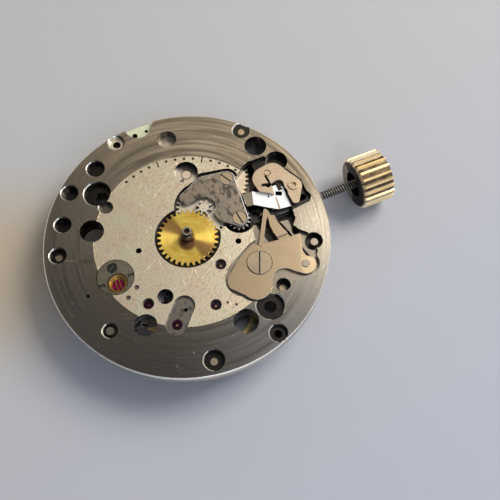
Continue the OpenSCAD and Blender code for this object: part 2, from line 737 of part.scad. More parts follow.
module lower_setting_plate() color(steel) difference() {
    post(setting_plate_at, setting_plate_r, 0.06, setting_plate_low);
    post(balance_at, shock_r + held_gap, -1, 2);
    post(setting_plate_at + [0, 0.9], 0.42, -1, 0.3);
    post(setting_plate_at + [0, 0.9], 0.25 + held_gap, -1, 2);
    for (s = [-1, 1]) translate([setting_plate_at[0] + s * 1.45, setting_plate_at[1] - 0.35, 0])
        rotate(-8) cube([0.7, 0.22, 0.5], center = true);
}

module lower_setting_screw() color(dark_steel)
    dial_screw(setting_plate_at + [0, 0.9], 0.4, 0.25, 0.1, 0.3, 1.0, 40, 0.1);

module lower_shock_block() color(gold) difference() {
    post(balance_at, shock_r, 0.12, shock_low);
    post(balance_at, 0.7, -1, 0.55);
    post(balance_at, 0.52, -1, 0.75);
    post(balance_at, small_pivot_r + 0.05, -1, 2);
}

module lower_cap_jewel() color(ruby) post(balance_at, 0.5, 0.5, 0.68);

// Flat lyre spring: an open ring with a cross bar
module lyre(at, r, top, low) {
    slab(top, low) translate(at) {
        difference() {
            circle(r);
            circle(r - 0.12);
            translate([0, -r]) square([0.5, 0.4], center = true);
        }
        for (s = [-1, 1]) translate([s * 0.16 - 0.05, 0.1 - r]) square([0.1, 2 * r - 0.16]);
    }
}

module lower_shock_spring() color(gold) lyre(balance_at, 0.68, 0.36, 0.42);

module hour_wheel() color(brass) difference() {
    union() {
        slab(hour_top, hour_top + hour_t)
            teeth_outline(hour_teeth, hour_m, hour_turn);
        translate([0, 0, -hour_top - 0.05])
            cylinder(r = hour_seat_r, h = hour_top + 0.05 + hour_seat_z);
    }
    post(centre, cannon_root_r + run_gap, -2, 2);
}

// Turns of the motion work's wheels at rest
hour_turn = 2;
minute_pinion_turn = mesh_turn(hour_turn, hour_teeth, minute_leaves, minute_way);
minute_turn = 3;
cannon_turn = mesh_turn(minute_turn, minute_teeth, cannon_leaves, minute_way + 180);
setting_turn = mesh_turn(minute_turn, minute_teeth, setting_teeth, dir_of(setting_at - minute_at));

// The pipe tapers inside the hour wheel and ends in a straight seat for the minute hand
module cannon_pinion() color(steel) difference() {
    union() {
        pinion(centre, cannon_leaves, minute_m, cannon_turn, minute_top - 0.04, cannon_in);
        translate([0, 0, -minute_top]) cylinder(r1 = cannon_root_r, r2 = minute_seat_r + 0.02,
            h = minute_top + minute_seat_z - minute_seat_len);
        post(centre, minute_seat_r, -minute_seat_z, minute_seat_len - minute_seat_z + 0.01);
    }
    post(centre, centre_arbor_r + run_gap, -2, 2);
}

module minute_wheel() color(steel) {
    slab(minute_top, minute_top + minute_t) translate(minute_at)
        teeth_outline(minute_teeth, minute_m, minute_turn);
    pinion(minute_at, minute_leaves, hour_m, minute_pinion_turn, minute_pinion_top, minute_top + 0.01);
    post(minute_at, 0.16, minute_pinion_top - 0.02, 0.86);
}

module setting_wheel() color(steel) difference() {
    slab(cover_seat + 0.04, setting_in) translate(setting_at)
        teeth_outline(setting_teeth, minute_m, setting_turn);
    post(setting_at, 0.34 + run_gap, 0, 2);
}

module motion_cover() color([0.43, 0.39, 0.33]) difference() {
    slab(cover_top, cover_seat) cover_outline(0);
    for (at = cover_screw_at) {
        post(at, 0.64, -1, cover_top + 0.12);
        post(at, 0.3 + held_gap, -1, 2);
    }
}

module motion_cover_screws() color(tan_steel) {
    dial_screw(cover_screw_at[0], 0.62, 0.3, cover_top - 0.08, cover_top + 0.12, 0.78, -60, 0.12);
    dial_screw(cover_screw_at[1], 0.62, 0.3, cover_top - 0.08, cover_top + 0.12, cover_seat, -84, 0.12);
}

module setting_lever() color(tan_steel) {
    difference() {
        slab(lever_top, lever_top + lever_t) lever_outline();
        // Groove round the head of the rivet
        tube(rivet_at, 0.35, 0.25, -1, lever_top + 0.16);
    }
    post([lever_pin_x, lever_pin_y], lever_pin_r, lever_top + 0.1, plate_t - stem_groove_r - 0.03);
}

module setting_lever_screw() color(tan_steel) difference() {
    union() {
        post(lever_pivot, lever_pivot_r, lever_top - 0.04, lever_floor);
        post(lever_pivot, screw_shank_r, lever_floor - 0.01, 1.3);
        post(lever_pivot, 0.5, lever_top - 0.1, lever_top - 0.02);
    }
    post(lever_pivot, 0.26, -1, lever_top + 0.1);
}

module yoke() color(tan_steel) {
    slab(yoke_top, yoke_top + yoke_t) yoke_outline();
    slab(yoke_wing_top, yoke_top + 0.01) polygon(yoke_wing);
    slab(yoke_top, plate_t - yoke_groove_r - 0.03) translate([yoke_groove_x, -0.98])
        square([yoke_finger_w, 0.5], center = true);
    slab(strip_low + 0.04, plate_t - yoke_groove_r - 0.03)
        translate([yoke_groove_x, -0.4]) square([yoke_finger_w, 0.8], center = true);
}

module yoke_spring() color(tan_steel)
    slab(setting_cover_top + 0.04, setting_floor) bar(blade_root, 0.2, blade_tip, 0.19);

module setting_cover() color(tan_steel) difference() {
    slab(setting_cover_top, setting_floor) setting_cover_outline();
    post(big_screw_at, big_screw_r + 0.05, -1, setting_cover_top + 0.12);
    post(big_screw_at, 0.42 + held_gap, -1, 2);
    post(yoke_pivot, yoke_pivot_r + held_gap, -1, 2);
}

module setting_cover_screw() color(tan_steel)
    dial_screw(big_screw_at, big_screw_r, 0.42, setting_cover_top - 0.08,
        setting_cover_top + 0.12, 1.28, 67, 0.14);

module stem() color(dark_steel) {
    stem_part(pilot_x0, square_x0 + 0.01, pilot_r);
    translate([square_x0, -square_w / 2, -plate_t - square_w / 2])
        cube([pinion_x0 - square_x0 - 0.02, square_w, square_w]);
    stem_part(pinion_x0 - 0.03, lever_pin_x - stem_groove_w / 2, stem_r);
    stem_part(lever_pin_x - stem_groove_w / 2 - 0.01, lever_pin_x + stem_groove_w / 2 + 0.01,
        stem_groove_r);
    stem_part(lever_pin_x + stem_groove_w / 2, stem_shoulder_x, stem_r);
    stem_part(stem_shoulder_x - 0.01, crown_x + crown_len - 0.6, stem_thread_r);
}

module crown() color(gold) translate([crown_x, 0, -plate_t]) rotate([90, 0, 90]) difference() {
    union() {
        difference() {
            linear_extrude(crown_len - 0.25) polygon([for (i = [0:crown_ridges - 1])
                let (step = 360 / crown_ridges) each [polar(i * step - step * 0.3, crown_r - 0.24),
                    polar(i * step - step * 0.12, crown_r), polar(i * step + step * 0.12, crown_r),
                    polar(i * step + step * 0.3, crown_r - 0.24)]]);
            translate([0, 0, -0.01]) difference() {
                cylinder(r = crown_r + 1, h = 0.25);
                cylinder(r1 = crown_r - 0.28, r2 = crown_r, h = 0.26);
            }
        }
        translate([0, 0, crown_len - 0.26])
            cylinder(r1 = crown_r - 0.2, r2 = crown_r - 0.7, h = 0.26);
    }
    translate([0, 0, -1]) cylinder(r = 1.25, h = 1.9);
    cylinder(r = stem_thread_r + held_gap, h = crown_len - 0.6);
}

// Saw teeth by which the clutch drives the winding pinion
module clutch_teeth(shrink) {
    for (i = [0:5]) rotate([i * 60, 0, 0]) rotate([90, 0, 90])
        linear_extrude(clutch_tooth - 0.03)
            polygon(concat([polar(2 + shrink, 0.62)], arc([0, 0], 0.9, 2 + shrink, 28 - shrink, 4),
                [polar(28 - shrink, 0.62)]));
}

module winding_pinion() color(dark_steel) translate([0, 0, -plate_t]) {
    difference() {
        union() {
            translate([pinion_x0, 0, 0]) rotate([0, 90, 0])
                cylinder(r = winding_body_r, h = pinion_x1 - pinion_x0);
            translate([pinion_x0 + 0.1, 0, 0]) rotate([90, 0, 90])
                linear_extrude(pinion_x1 - pinion_x0 - 0.2)
                polygon([for (i = [0:winding_teeth - 1]) let (step = 360 / winding_teeth) each [
                    polar(90 + i * step - step * 0.2, winding_body_r),
                    polar(90 + i * step - step * 0.1, winding_tip_r),
                    polar(90 + i * step + step * 0.1, winding_tip_r),
                    polar(90 + i * step + step * 0.2, winding_body_r)]]);
        }
        translate([pinion_x0 - 1, 0, 0]) rotate([0, 90, 0])
            cylinder(r = stem_r + run_gap, h = 4);
    }
    translate([pinion_x0 - clutch_tooth + 0.03, 0, 0]) clutch_teeth(0);
}

module clutch() color(dark_steel) translate([0, 0, -plate_t]) {
    body_x1 = clutch_x1 - clutch_tooth - 0.01;
    difference() {
        translate([clutch_x0 + 0.2, 0, 0]) rotate([0, 90, 0])
            cylinder(r = clutch_r, h = body_x1 - clutch_x0 - 0.2);
        translate([yoke_groove_x - yoke_groove_w / 2, 0, 0]) rotate([0, 90, 0]) difference() {
            cylinder(r = clutch_r + 1, h = yoke_groove_w);
            translate([0, 0, -1]) cylinder(r = yoke_groove_r, h = 4);
        }
        translate([0, -square_w / 2 - run_gap, -square_w / 2 - run_gap])
            cube([20, square_w + 2 * run_gap, square_w + 2 * run_gap]);
    }
    translate([body_x1 - 0.01, 0, 0]) rotate([30, 0, 0]) clutch_teeth(1.5);
    for (i = [0:11]) rotate([i * 30, 0, 0]) translate([clutch_x0, -0.1, 0.66])
        cube([0.21, 0.2, 0.3]);
}

module barrel_bridge() color(nickel) difference() {
    union() {
        slab(bridge_in, bridge_out) barrel_bridge_outline();
        slab(plate_t, bridge_in + 0.01) difference() {
            barrel_bridge_outline();
            translate(barrel_at) circle(barrel_teeth * barrel_m / 2 + 0.3);
            circle(centre_teeth * train_m / 2 + 0.3);
        }
    }
    // Way for the stem, clutch and winding pinion
    slab(plate_t - 1, ratchet_top) polygon([[tunnel_x0, -tunnel_w / 2],
        [tunnel_x0, tunnel_w / 2], [pinion_x0 - 0.1, tunnel_w / 2],
        [pinion_x0 - 0.1, pinion_bay_w / 2], [tunnel_x1, pinion_bay_w / 2],
        [tunnel_x1, -pinion_bay_w / 2], [pinion_x0 - 0.1, -pinion_bay_w / 2],
        [pinion_x0 - 0.1, -tunnel_w / 2]]);
    slab(plate_t, bridge_out + 1) translate([pinion_x0 - 0.1, -0.92])
        square([tunnel_x1 - pinion_x0 + 0.1, 1.84]);
    stem_way();
    // Sinks of the ratchet, crown wheel and click
    post(barrel_at, ratchet_teeth * winding_m / 2 + 0.4, ratchet_top, bridge_out + 1);
    post(crown_wheel_at, crown_sink_r, ratchet_top, bridge_out + 1);
    slab(ratchet_top, bridge_out + 1) {
        bar(click_pivot, 1.15, click_nose, 0.6);
        bar(click_spring_end, 0.35, click_pivot, 0.85);
    }
    post(barrel_at, 0.5 + run_gap, 0, 5);
    post(crown_wheel_at, 0.3 + held_gap, plate_t + pilot_r + 0.1, 5);
    post(click_pivot, 0.25 + held_gap, 0, 5);
    for (s = barrel_screws) {
        post(s[0], screw_shank_r + held_gap, 0, 5);
        post(s[0], screw_head_r + 0.03, bridge_out - screw_head_t, 5);
    }
}

module barrel_bridge_screws() color(steel) for (s = barrel_screws)
    back_screw(s[0], screw_head_r, screw_shank_r, bridge_out - screw_head_t, bridge_out - 0.02,
        s[1], 25);

module train_bridge() color(nickel) difference() {
    union() {
        slab(bridge_in, bridge_out) train_bridge_outline();
        for (s = train_screws) slab(plate_t, bridge_in + 0.01) intersection() {
            train_bridge_outline();
            difference() {
                translate(s[0]) circle(1.3);
                translate(third_at) circle(third_teeth * train_m / 2 + 0.3);
                translate(fourth_at) circle(fourth_teeth * fourth_m / 2 + 0.3);
                circle(centre_teeth * train_m / 2 + 0.3);
            }
        }
    }
    for (at = [third_at, fourth_at, escape_at]) {
        post(at, jewel_r + held_gap, bridge_out - bridge_jewel_t - 0.1, 5);
        post(at, 0.25, 0, 5);
    }
    post(centre, 0.6 + held_gap, bridge_out - bridge_jewel_t - 0.1, 5);
    post(centre, centre_arbor_r + 0.1, 0, 5);
    for (s = train_screws) {
        post(s[0], screw_shank_r + held_gap, 0, 5);
        post(s[0], screw_head_r + 0.03, bridge_out - screw_head_t, 5);
    }
}

module train_bridge_screws() color(steel) for (s = train_screws)
    back_screw(s[0], screw_head_r, screw_shank_r, bridge_out - screw_head_t, bridge_out - 0.02,
        s[1], 70);

module bridge_jewels() color(ruby) {
    for (at = [third_at, fourth_at, escape_at])
        tube(at, jewel_r, pivot_r + run_gap, bridge_out - bridge_jewel_t - 0.1, bridge_out - 0.1);
    tube(centre, 0.6, centre_pivot_r + run_gap, bridge_out - bridge_jewel_t - 0.1, bridge_out - 0.1);
}

barrel_drum_r = barrel_teeth * barrel_m / 2 - dedendum * barrel_m;
barrel_in_r = barrel_drum_r - barrel_wall;
arbor_r = 0.5;
arbor_end_r = 0.42;
arbor_end_top = 0.62;
hub_r = 0.95;
ratchet_screw_r = 0.21;
ratchet_screw_len = 0.9;

module barrel_drum() color(brass) difference() {
    union() {
        post(barrel_at, barrel_drum_r, barrel_top, barrel_low);
        slab(tooth_top, tooth_low) translate(barrel_at)
            teeth_outline(barrel_teeth, barrel_m, barrel_turn);
    }
    post(barrel_at, barrel_in_r, barrel_top + 0.18, 5);
    post(barrel_at, arbor_r + run_gap, 0, 5);
}

module barrel_cover() color(brass)
    tube(barrel_at, barrel_in_r - held_gap, arbor_r + run_gap, barrel_low - 0.18, barrel_low - 0.02);

module barrel_arbor() color(steel) difference() {
    union() {
        post(barrel_at, arbor_end_r, arbor_end_top, arbor_end_top + 0.1);
        post(barrel_at, arbor_r, arbor_end_top + 0.04, ratchet_top);
        post(barrel_at, hub_r, barrel_top + 0.22, barrel_low - 0.22);
        post(barrel_at, arbor_end_r, ratchet_top - 0.01, ratchet_top + ratchet_t - 0.02);
    }
    post(barrel_at, ratchet_screw_r + held_gap, ratchet_top - ratchet_screw_len - 0.05, 5);
}

// Strip wound from an inner to an outer radius, as one outline
module spiral(r0, r1, turns, width, steps) {
    count = turns * steps;
    inner = [for (i = [0:count]) polar(i * 360 / steps, r0 + (r1 - r0) * i / count)];
    outer = [for (i = [count:-1:0]) polar(i * 360 / steps, r0 + width + (r1 - r0) * i / count)];
    polygon(concat(inner, outer));
}

module mainspring() color(steel)
    slab(barrel_top + 0.26, barrel_low - 0.26) translate(barrel_at)
        spiral(hub_r + 0.03, barrel_in_r - mainspring_t - 0.03, 9, mainspring_t, 20);

// Turns of the train's wheels at rest
barrel_turn = 1;
centre_pinion_turn = mesh_turn(barrel_turn, barrel_teeth, centre_leaves, barrel_way + 180);
centre_turn = 2;
third_pinion_turn = mesh_turn(centre_turn, centre_teeth, third_leaves, third_way);
third_turn = 1;
fourth_pinion_turn = mesh_turn(third_turn, third_teeth, fourth_leaves, fourth_way);
fourth_turn = 0;
escape_pinion_turn = mesh_turn(fourth_turn, fourth_teeth, escape_leaves, escape_way);
crown_wheel_turn = 180 / crown_wheel_teeth;
ratchet_turn = mesh_turn(crown_wheel_turn, crown_wheel_teeth, ratchet_teeth,
    dir_of(barrel_at - crown_wheel_at));

module ratchet_wheel() color(steel) difference() {
    slab(ratchet_top + 0.02, ratchet_top + ratchet_t) translate(barrel_at)
        teeth_outline(ratchet_teeth, winding_m, ratchet_turn);
    post(barrel_at, arbor_end_r + held_gap, 0, 5);
}

module ratchet_screw() color(steel)
    back_screw(barrel_at, 1.1, ratchet_screw_r, ratchet_top + ratchet_t, bridge_out + 0.22,
        ratchet_top - ratchet_screw_len, 15);

module crown_wheel() color(steel) difference() {
    slab(ratchet_top + 0.02, ratchet_top + ratchet_t) translate(crown_wheel_at)
        teeth_outline(crown_wheel_teeth, winding_m, crown_wheel_turn);
    post(crown_wheel_at, 0.55 + run_gap, 0, 5);
}

module crown_wheel_screw() color(steel) difference() {
    union() {
        post(crown_wheel_at, 0.55, ratchet_top, ratchet_top + ratchet_t + 0.04);
        post(crown_wheel_at, 1.0, ratchet_top + ratchet_t + 0.03, bridge_out + 0.18);
        post(crown_wheel_at, 0.3, plate_t + pilot_r + 0.12, ratchet_top + 0.01);
    }
    translate([crown_wheel_at[0], crown_wheel_at[1], -bridge_out - 0.18]) rotate(-30)
        cube([3, 0.18, 0.24], center = true);
}

click_pivot = barrel_at + polar(163, ratchet_teeth * winding_m / 2 + 1.3);
click_nose = barrel_at + polar(178, ratchet_teeth * winding_m / 2 + addendum * winding_m + 0.17);
click_spring_end = click_pivot + [-0.9, 2.2];

module click() color(steel) difference() {
    slab(ratchet_top + 0.02, ratchet_top + 0.3) {
        bar(click_pivot, 0.62, click_nose, 0.13);
        bar(click_pivot, 0.62, click_pivot + [0.55, 0.55], 0.3);
    }
    post(click_pivot, 0.38 + run_gap, 0, 5);
}

module click_screw() color(steel) difference() {
    union() {
        post(click_pivot, 0.38, ratchet_top, ratchet_top + 0.33);
        post(click_pivot, 0.58, ratchet_top + 0.32, bridge_out + 0.1);
        post(click_pivot, 0.25, bridge_in + 0.02, ratchet_top + 0.01);
    }
    translate([click_pivot[0], click_pivot[1], -bridge_out - 0.1]) rotate(60)
        cube([3, 0.14, 0.16], center = true);
}

module click_spring() color(blue_steel) slab(ratchet_top + 0.02, ratchet_top + 0.2) {
    bar(click_spring_end, 0.3, click_spring_end + [0.5, -0.5], 0.07);
    bar(click_spring_end + [0.5, -0.5], 0.07, click_pivot + [0.1, 0.9], 0.07);
}

module centre_wheel() color(brass) {
    post(centre, centre_arbor_r, arbor_sunk - minute_seat_z, centre_pinion_top + 0.01);
    pinion(centre, centre_leaves, barrel_m, centre_pinion_turn, centre_pinion_top, centre_pinion_low);
    post(centre, 0.36, centre_pinion_low - 0.01, pinion_low);
    spoked_wheel(centre, centre_teeth, train_m, centre_turn, centre_wheel_top, 5, 0.8);
    post(centre, centre_arbor_r, pinion_low - 0.01, bridge_out - 0.5);
    post(centre, centre_pivot_r, bridge_out - 0.51, bridge_out - 0.14);
}

// Arbor with a pivot at each end, running in the plate's and a bridge's jewels
module arbor(at, r, low) {
    post(at, pivot_r, jewel_top + 0.06, jewel_low + 0.06);
    post(at, r, jewel_low + 0.05, low);
}

module third_wheel() color(brass) {
    arbor(third_at, 0.18, bridge_out - bridge_jewel_t - 0.16);
    pinion(third_at, third_leaves, train_m, third_pinion_turn, third_pinion_top, pinion_low);
    spoked_wheel(third_at, third_teeth, train_m, third_turn, third_wheel_top, 5, 0.6);
    post(third_at, pivot_r, bridge_out - bridge_jewel_t - 0.17, bridge_out - 0.14);
}

module fourth_wheel() color(brass) {
    arbor(fourth_at, 0.16, bridge_out - bridge_jewel_t - 0.16);
    pinion(fourth_at, fourth_leaves, train_m, fourth_pinion_turn, fourth_pinion_top,
        third_wheel_top + wheel_t + 0.1);
    spoked_wheel(fourth_at, fourth_teeth, fourth_m, fourth_turn, fourth_wheel_top, 5, 0.6);
    post(fourth_at, pivot_r, bridge_out - bridge_jewel_t - 0.17, bridge_out - 0.14);
}

escape_r = escape_span * cos(30);

// Escape wheel with fifteen raked teeth
module escape_wheel() color(steel) {
    arbor(escape_at, 0.13, bridge_out - bridge_jewel_t - 0.16);
    pinion(escape_at, escape_leaves, fourth_m, escape_pinion_turn, escape_pinion_top, escape_pinion_low);
    slab(escape_wheel_top, escape_wheel_top + wheel_t) translate(escape_at) {
        difference() {
            polygon([for (i = [0:escape_teeth - 1]) let (a = lever_way + 12 + i * 24) each [
                polar(a, escape_r - 0.02), polar(a + 2.2, escape_r - 0.06),
                polar(a + 9, escape_r - 0.62), polar(a + 18, escape_r - 0.66),
                polar(a + 20.5, escape_r - 0.5)]]);
            circle(escape_r - 0.95);
        }
        circle(0.5);
        for (i = [0:3]) rotate(i * 90 + 20) translate([0.3, -0.13])
            square([escape_r - 1.1, 0.26]);
    }
    post(escape_at, pivot_r, bridge_out - bridge_jewel_t - 0.17, bridge_out - 0.14);
}

stone_reach = escape_span * sin(30);
stone_ways = [lever_way + 180 + 60, lever_way + 180 - 60];
stone_out = [90, -90];
stone_len = 0.5;
stone_w = 0.2;
fork_notch = balance_span - 0.85;

// Outlines of the two stones, which end just outside the circle of the escape teeth
module stone_outlines(grow) {
    for (i = [0, 1]) translate(pallet_at + polar(stone_ways[i], stone_reach))
        rotate(stone_ways[i] + stone_out[i]) translate([0.02, -stone_w / 2 - grow])
            square([stone_len, stone_w + 2 * grow]);
}

module pallet_fork() color(steel) {
    post(pallet_at, small_pivot_r, jewel_top + 0.06, jewel_low + 0.06);
    post(pallet_at, 0.13, jewel_low + 0.05, pallet_bridge_top + 0.12);
    post(pallet_at, small_pivot_r, pallet_bridge_top + 0.11, pallet_bridge_low - 0.06);
    slab(escape_wheel_top, escape_wheel_top + fork_t) difference() {
        union() {
            for (i = [0, 1]) bar(pallet_at, 0.3, pallet_at + polar(stone_ways[i], stone_reach)
                + polar(stone_ways[i] + stone_out[i], 0.42), 0.24);
            bar(pallet_at, 0.3, pallet_at + polar(balance_way, fork_notch - 0.35), 0.12);
            translate(pallet_at) rotate(balance_way) translate([fork_notch - 0.15, 0])
                square([0.5, 0.62], center = true);
        }
        translate(pallet_at) rotate(balance_way) translate([fork_notch + 0.1, 0])
            square([0.5, 0.3], center = true);
        stone_outlines(held_gap);
    }
}

module pallet_stones() color(ruby)
    slab(escape_wheel_top + 0.01, escape_wheel_top + fork_t - 0.01) stone_outlines(0);

module pallet_bridge() color(nickel) difference() {
    slab(pallet_bridge_top, pallet_bridge_low) pallet_bridge_outline(0);
    post(pallet_at, small_pivot_r + run_gap, 0, 5);
    post(pallet_at, 0.2, 0, pallet_bridge_top + 0.18);
    for (at = pallet_screw_at) post(at, pallet_screw_r + held_gap, 0, 5);
}

module pallet_bridge_screws() color(steel) for (at = pallet_screw_at)
    back_screw(at, 0.5, pallet_screw_r, pallet_bridge_low, pallet_bridge_low + 0.18, 1.15, 50);

module balance_wheel() color(gold) {
    tube(balance_at, balance_r, balance_r - balance_rim_w, balance_top, balance_low);
    slab(balance_top + 0.1, balance_top + 0.24) translate(balance_at) difference() {
        union() {
            circle(0.75);
            rotate(balance_way + 35) square([2 * (balance_r - balance_rim_w) + 0.2, 0.5], center = true);
        }
        circle(0.36 + held_gap);
    }
}

module balance_staff() color(steel) {
    post(balance_at, small_pivot_r, 0.7, 1.0);
    post(balance_at, 0.2, 0.98, balance_top - 0.2);
    post(balance_at, 0.5, balance_top - 0.21, balance_top + 0.09);
    post(balance_at, 0.36, balance_top + 0.08, balance_low + 0.1);
    post(balance_at, 0.22, balance_low + 0.09, cock_in - 0.05);
    post(balance_at, small_pivot_r, cock_in - 0.06, cock_out - 0.12);
}

roller_top = escape_wheel_top + fork_t + 0.08;

module roller() color(brass) difference() {
    union() {
        post(balance_at, 1.05, roller_top, roller_top + 0.18);
        post(balance_at + polar(balance_way + 180, 0.85), 0.12, roller_top - 0.05, roller_top + 0.01);
    }
    post(balance_at, 0.2 + held_gap, 0, 5);
}

collet_r = 0.5;
hairspring_r = 2.5;

module hairspring_collet() color(brass)
    tube(balance_at, collet_r, 0.22 + held_gap, hairspring_top, hairspring_low);

module hairspring() color(blue_steel)
    slab(hairspring_top, hairspring_low) translate(balance_at) rotate(stud_way)
        spiral(collet_r + run_gap, hairspring_r - hairspring_t, hairspring_turns, hairspring_t, 24);

stud_way = 70;
stud_r = 0.18;
stud_at = balance_at + polar(stud_way, hairspring_r + stud_r);

module hairspring_stud() color(steel)
    post(stud_at, stud_r, hairspring_top, cock_out + 0.02);

module cock_outline() {
    intersection() {
        circle(band_r - 0.1);
        union() {
            translate(cock_foot_at) circle(cock_foot_r);
            bar(cock_foot_at, cock_foot_r, balance_at, 1.75);
            bar(balance_at, 1.75, stud_at, 0.5);
        }
    }
}

module balance_cock() color(nickel) difference() {
    union() {
        slab(cock_in, cock_out) cock_outline();
        slab(plate_t, cock_in + 0.01) intersection() {
            cock_foot_outline(0);
            circle(band_r - 0.1);
        }
    }
    post(balance_at, 1.1 + held_gap, cock_in - 1, cock_out + 1);
    post(stud_at, stud_r + held_gap, 0, 5);
    post(cock_screw[0], screw_shank_r + held_gap, 0, 5);
    post(cock_screw[0], screw_head_r + 0.03, cock_out - screw_head_t, 5);
}

module balance_cock_screw() color(steel)
    back_screw(cock_screw[0], screw_head_r, screw_shank_r, cock_out - screw_head_t,
        cock_out - 0.02, cock_screw[1], 10);

module regulator() color(steel) slab(cock_out + 0.01, cock_out + 0.13) difference() {
    union() {
        translate(balance_at) circle(1.45);
        bar(balance_at, 0.6, balance_at + polar(150, 3.2), 0.16);
        bar(balance_at, 0.9, balance_at + polar(20, 1.9), 0.35);
    }
    translate(balance_at) circle(1.12);
}

module upper_shock_block() color(gold) difference() {
    post(balance_at, 1.1, cock_in + 0.04, cock_out + 0.12);
    post(balance_at, 0.85, cock_out - 0.3, 5);
    post(balance_at, small_pivot_r + 0.05, 0, 5);
    post(balance_at, 0.5, cock_out - 0.2, 5);
    post(balance_at, 0.3, 0, cock_in + 0.1);
}

module upper_cap_jewel() color(ruby) post(balance_at, 0.5, cock_out - 0.1, cock_out + 0.02);

module upper_shock_spring() color(gold) lyre(balance_at, 0.82, cock_out + 0.04, cock_out + 0.1);

mainplate();
plate_jewels();
dial_side_pins();
lower_setting_plate();
lower_setting_screw();
lower_shock_block();
lower_cap_jewel();
lower_shock_spring();
hour_wheel();
cannon_pinion();
minute_wheel();
setting_wheel();
motion_cover();
motion_cover_screws();
setting_lever();
setting_lever_screw();
yoke();
yoke_spring();
setting_cover();
setting_cover_screw();
stem();
crown();
winding_pinion();
clutch();
barrel_bridge();
barrel_bridge_screws();
train_bridge();
train_bridge_screws();
bridge_jewels();
barrel_drum();
barrel_cover();
barrel_arbor();
mainspring();
ratchet_wheel();
ratchet_screw();
crown_wheel();
crown_wheel_screw();
click();
click_screw();
click_spring();
centre_wheel();
third_wheel();
fourth_wheel();
escape_wheel();
pallet_fork();
pallet_stones();
pallet_bridge();
pallet_bridge_screws();
balance_wheel();
balance_staff();
roller();
hairspring();
hairspring_collet();
hairspring_stud();
balance_cock();
balance_cock_screw();
regulator();
upper_shock_block();
upper_cap_jewel();
upper_shock_spring();
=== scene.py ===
# %% [markdown]
# A hand-wound watch movement lies on its bridges with the dial side up. The solids come from
# the CAD model and stay where they are. This script gives them what a watchmaker's finish
# would: turned and grained metal, broken edges that catch the light, and a real thread.

# %% Load the solids as a fixed frame
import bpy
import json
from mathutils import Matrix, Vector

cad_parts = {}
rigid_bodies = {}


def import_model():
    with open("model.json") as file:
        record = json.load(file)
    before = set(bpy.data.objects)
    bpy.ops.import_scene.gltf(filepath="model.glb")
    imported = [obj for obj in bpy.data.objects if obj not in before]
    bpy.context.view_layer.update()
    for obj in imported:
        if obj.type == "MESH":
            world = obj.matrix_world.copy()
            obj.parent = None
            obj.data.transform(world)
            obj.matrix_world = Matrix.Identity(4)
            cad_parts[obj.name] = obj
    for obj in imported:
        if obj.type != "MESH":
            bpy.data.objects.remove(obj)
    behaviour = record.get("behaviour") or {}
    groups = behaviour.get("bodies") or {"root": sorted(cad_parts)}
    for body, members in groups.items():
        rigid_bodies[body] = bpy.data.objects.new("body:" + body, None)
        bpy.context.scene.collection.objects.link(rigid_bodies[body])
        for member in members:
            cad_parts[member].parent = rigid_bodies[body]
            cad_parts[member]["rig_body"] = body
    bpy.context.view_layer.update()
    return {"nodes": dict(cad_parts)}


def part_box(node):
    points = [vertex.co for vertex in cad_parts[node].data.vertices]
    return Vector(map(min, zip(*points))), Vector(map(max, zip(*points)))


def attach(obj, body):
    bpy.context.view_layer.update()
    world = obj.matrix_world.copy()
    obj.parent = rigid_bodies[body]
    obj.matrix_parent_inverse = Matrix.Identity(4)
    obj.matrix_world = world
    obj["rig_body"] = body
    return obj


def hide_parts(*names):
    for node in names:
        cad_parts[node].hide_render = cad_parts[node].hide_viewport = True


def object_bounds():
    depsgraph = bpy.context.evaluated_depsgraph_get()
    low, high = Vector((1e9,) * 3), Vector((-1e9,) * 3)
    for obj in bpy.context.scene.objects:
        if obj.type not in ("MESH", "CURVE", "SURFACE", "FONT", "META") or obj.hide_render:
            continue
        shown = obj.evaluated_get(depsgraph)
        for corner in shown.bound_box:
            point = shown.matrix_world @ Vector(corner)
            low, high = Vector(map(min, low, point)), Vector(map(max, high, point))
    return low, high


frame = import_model()

# %% The modules of Blender that the lesson uses
import json
from math import pi, radians
import bmesh
import bpy
from mathutils import Matrix, Vector

MM = 0.001
scene = bpy.context.scene
print("one millimetre is", MM, "of Blender's metres")

# %% [markdown]
# The photograph looks down on the movement from about 67 degrees, from only 6 cm away. A camera
# could be turned with three Euler angles, but a product of plain turns is easier to read: the
# stem is turned on the table, then the lens is tipped, then the camera is rolled a little.
# The picture's right and back, laid flat on the table, are kept for the lamps and for painted
# highlights, reflections and shade.

# %% Camera at the photograph's angle
STEM_TURN = radians(-24.2)
LENS_TIP = radians(22.94)
ROLL = radians(1.75)
CAMERA_AT = Vector((5.5514, -1.1995, 60.5665)) * MM
FOCAL_LENGTH = 48.96
SENSOR_WIDTH = 36
look = (Matrix.Rotation(STEM_TURN, 3, "Z") @ Matrix.Rotation(LENS_TIP, 3, "X")
        @ Matrix.Rotation(ROLL, 3, "Z"))
lens = bpy.data.cameras.new("camera")
lens.lens = FOCAL_LENGTH
lens.sensor_width = SENSOR_WIDTH
lens.clip_start = 1 * MM
camera = bpy.data.objects.new("camera", lens)
camera.matrix_world = Matrix.Translation(look @ CAMERA_AT) @ look.to_4x4()
scene.collection.objects.link(camera)
scene.camera = camera
print("camera", [round(v / MM, 1) for v in camera.location], "mm")

# %% Two directions on the table
to_right = look @ Vector((1, 0, 0))
to_right = Vector((to_right.x, to_right.y, 0)).normalized()
to_back = Vector((-to_right.y, to_right.x, 0))
print("picture right:", to_right[:2], "picture back:", to_back[:2])

# %% [markdown]
# Every metal here is built from the same few effects. Each effect is a node group, made once:
# turned lines from a lathe, long grain from a stone, hair scratches from handling, and
# the clouded patches that age leaves. Groups only hand out masks and values, and each material
# decides what they do to its colour, its roughness and its relief.

# %% Helpers that build node trees
FLOAT = "NodeSocketFloat"
VECTOR = "NodeSocketVector"


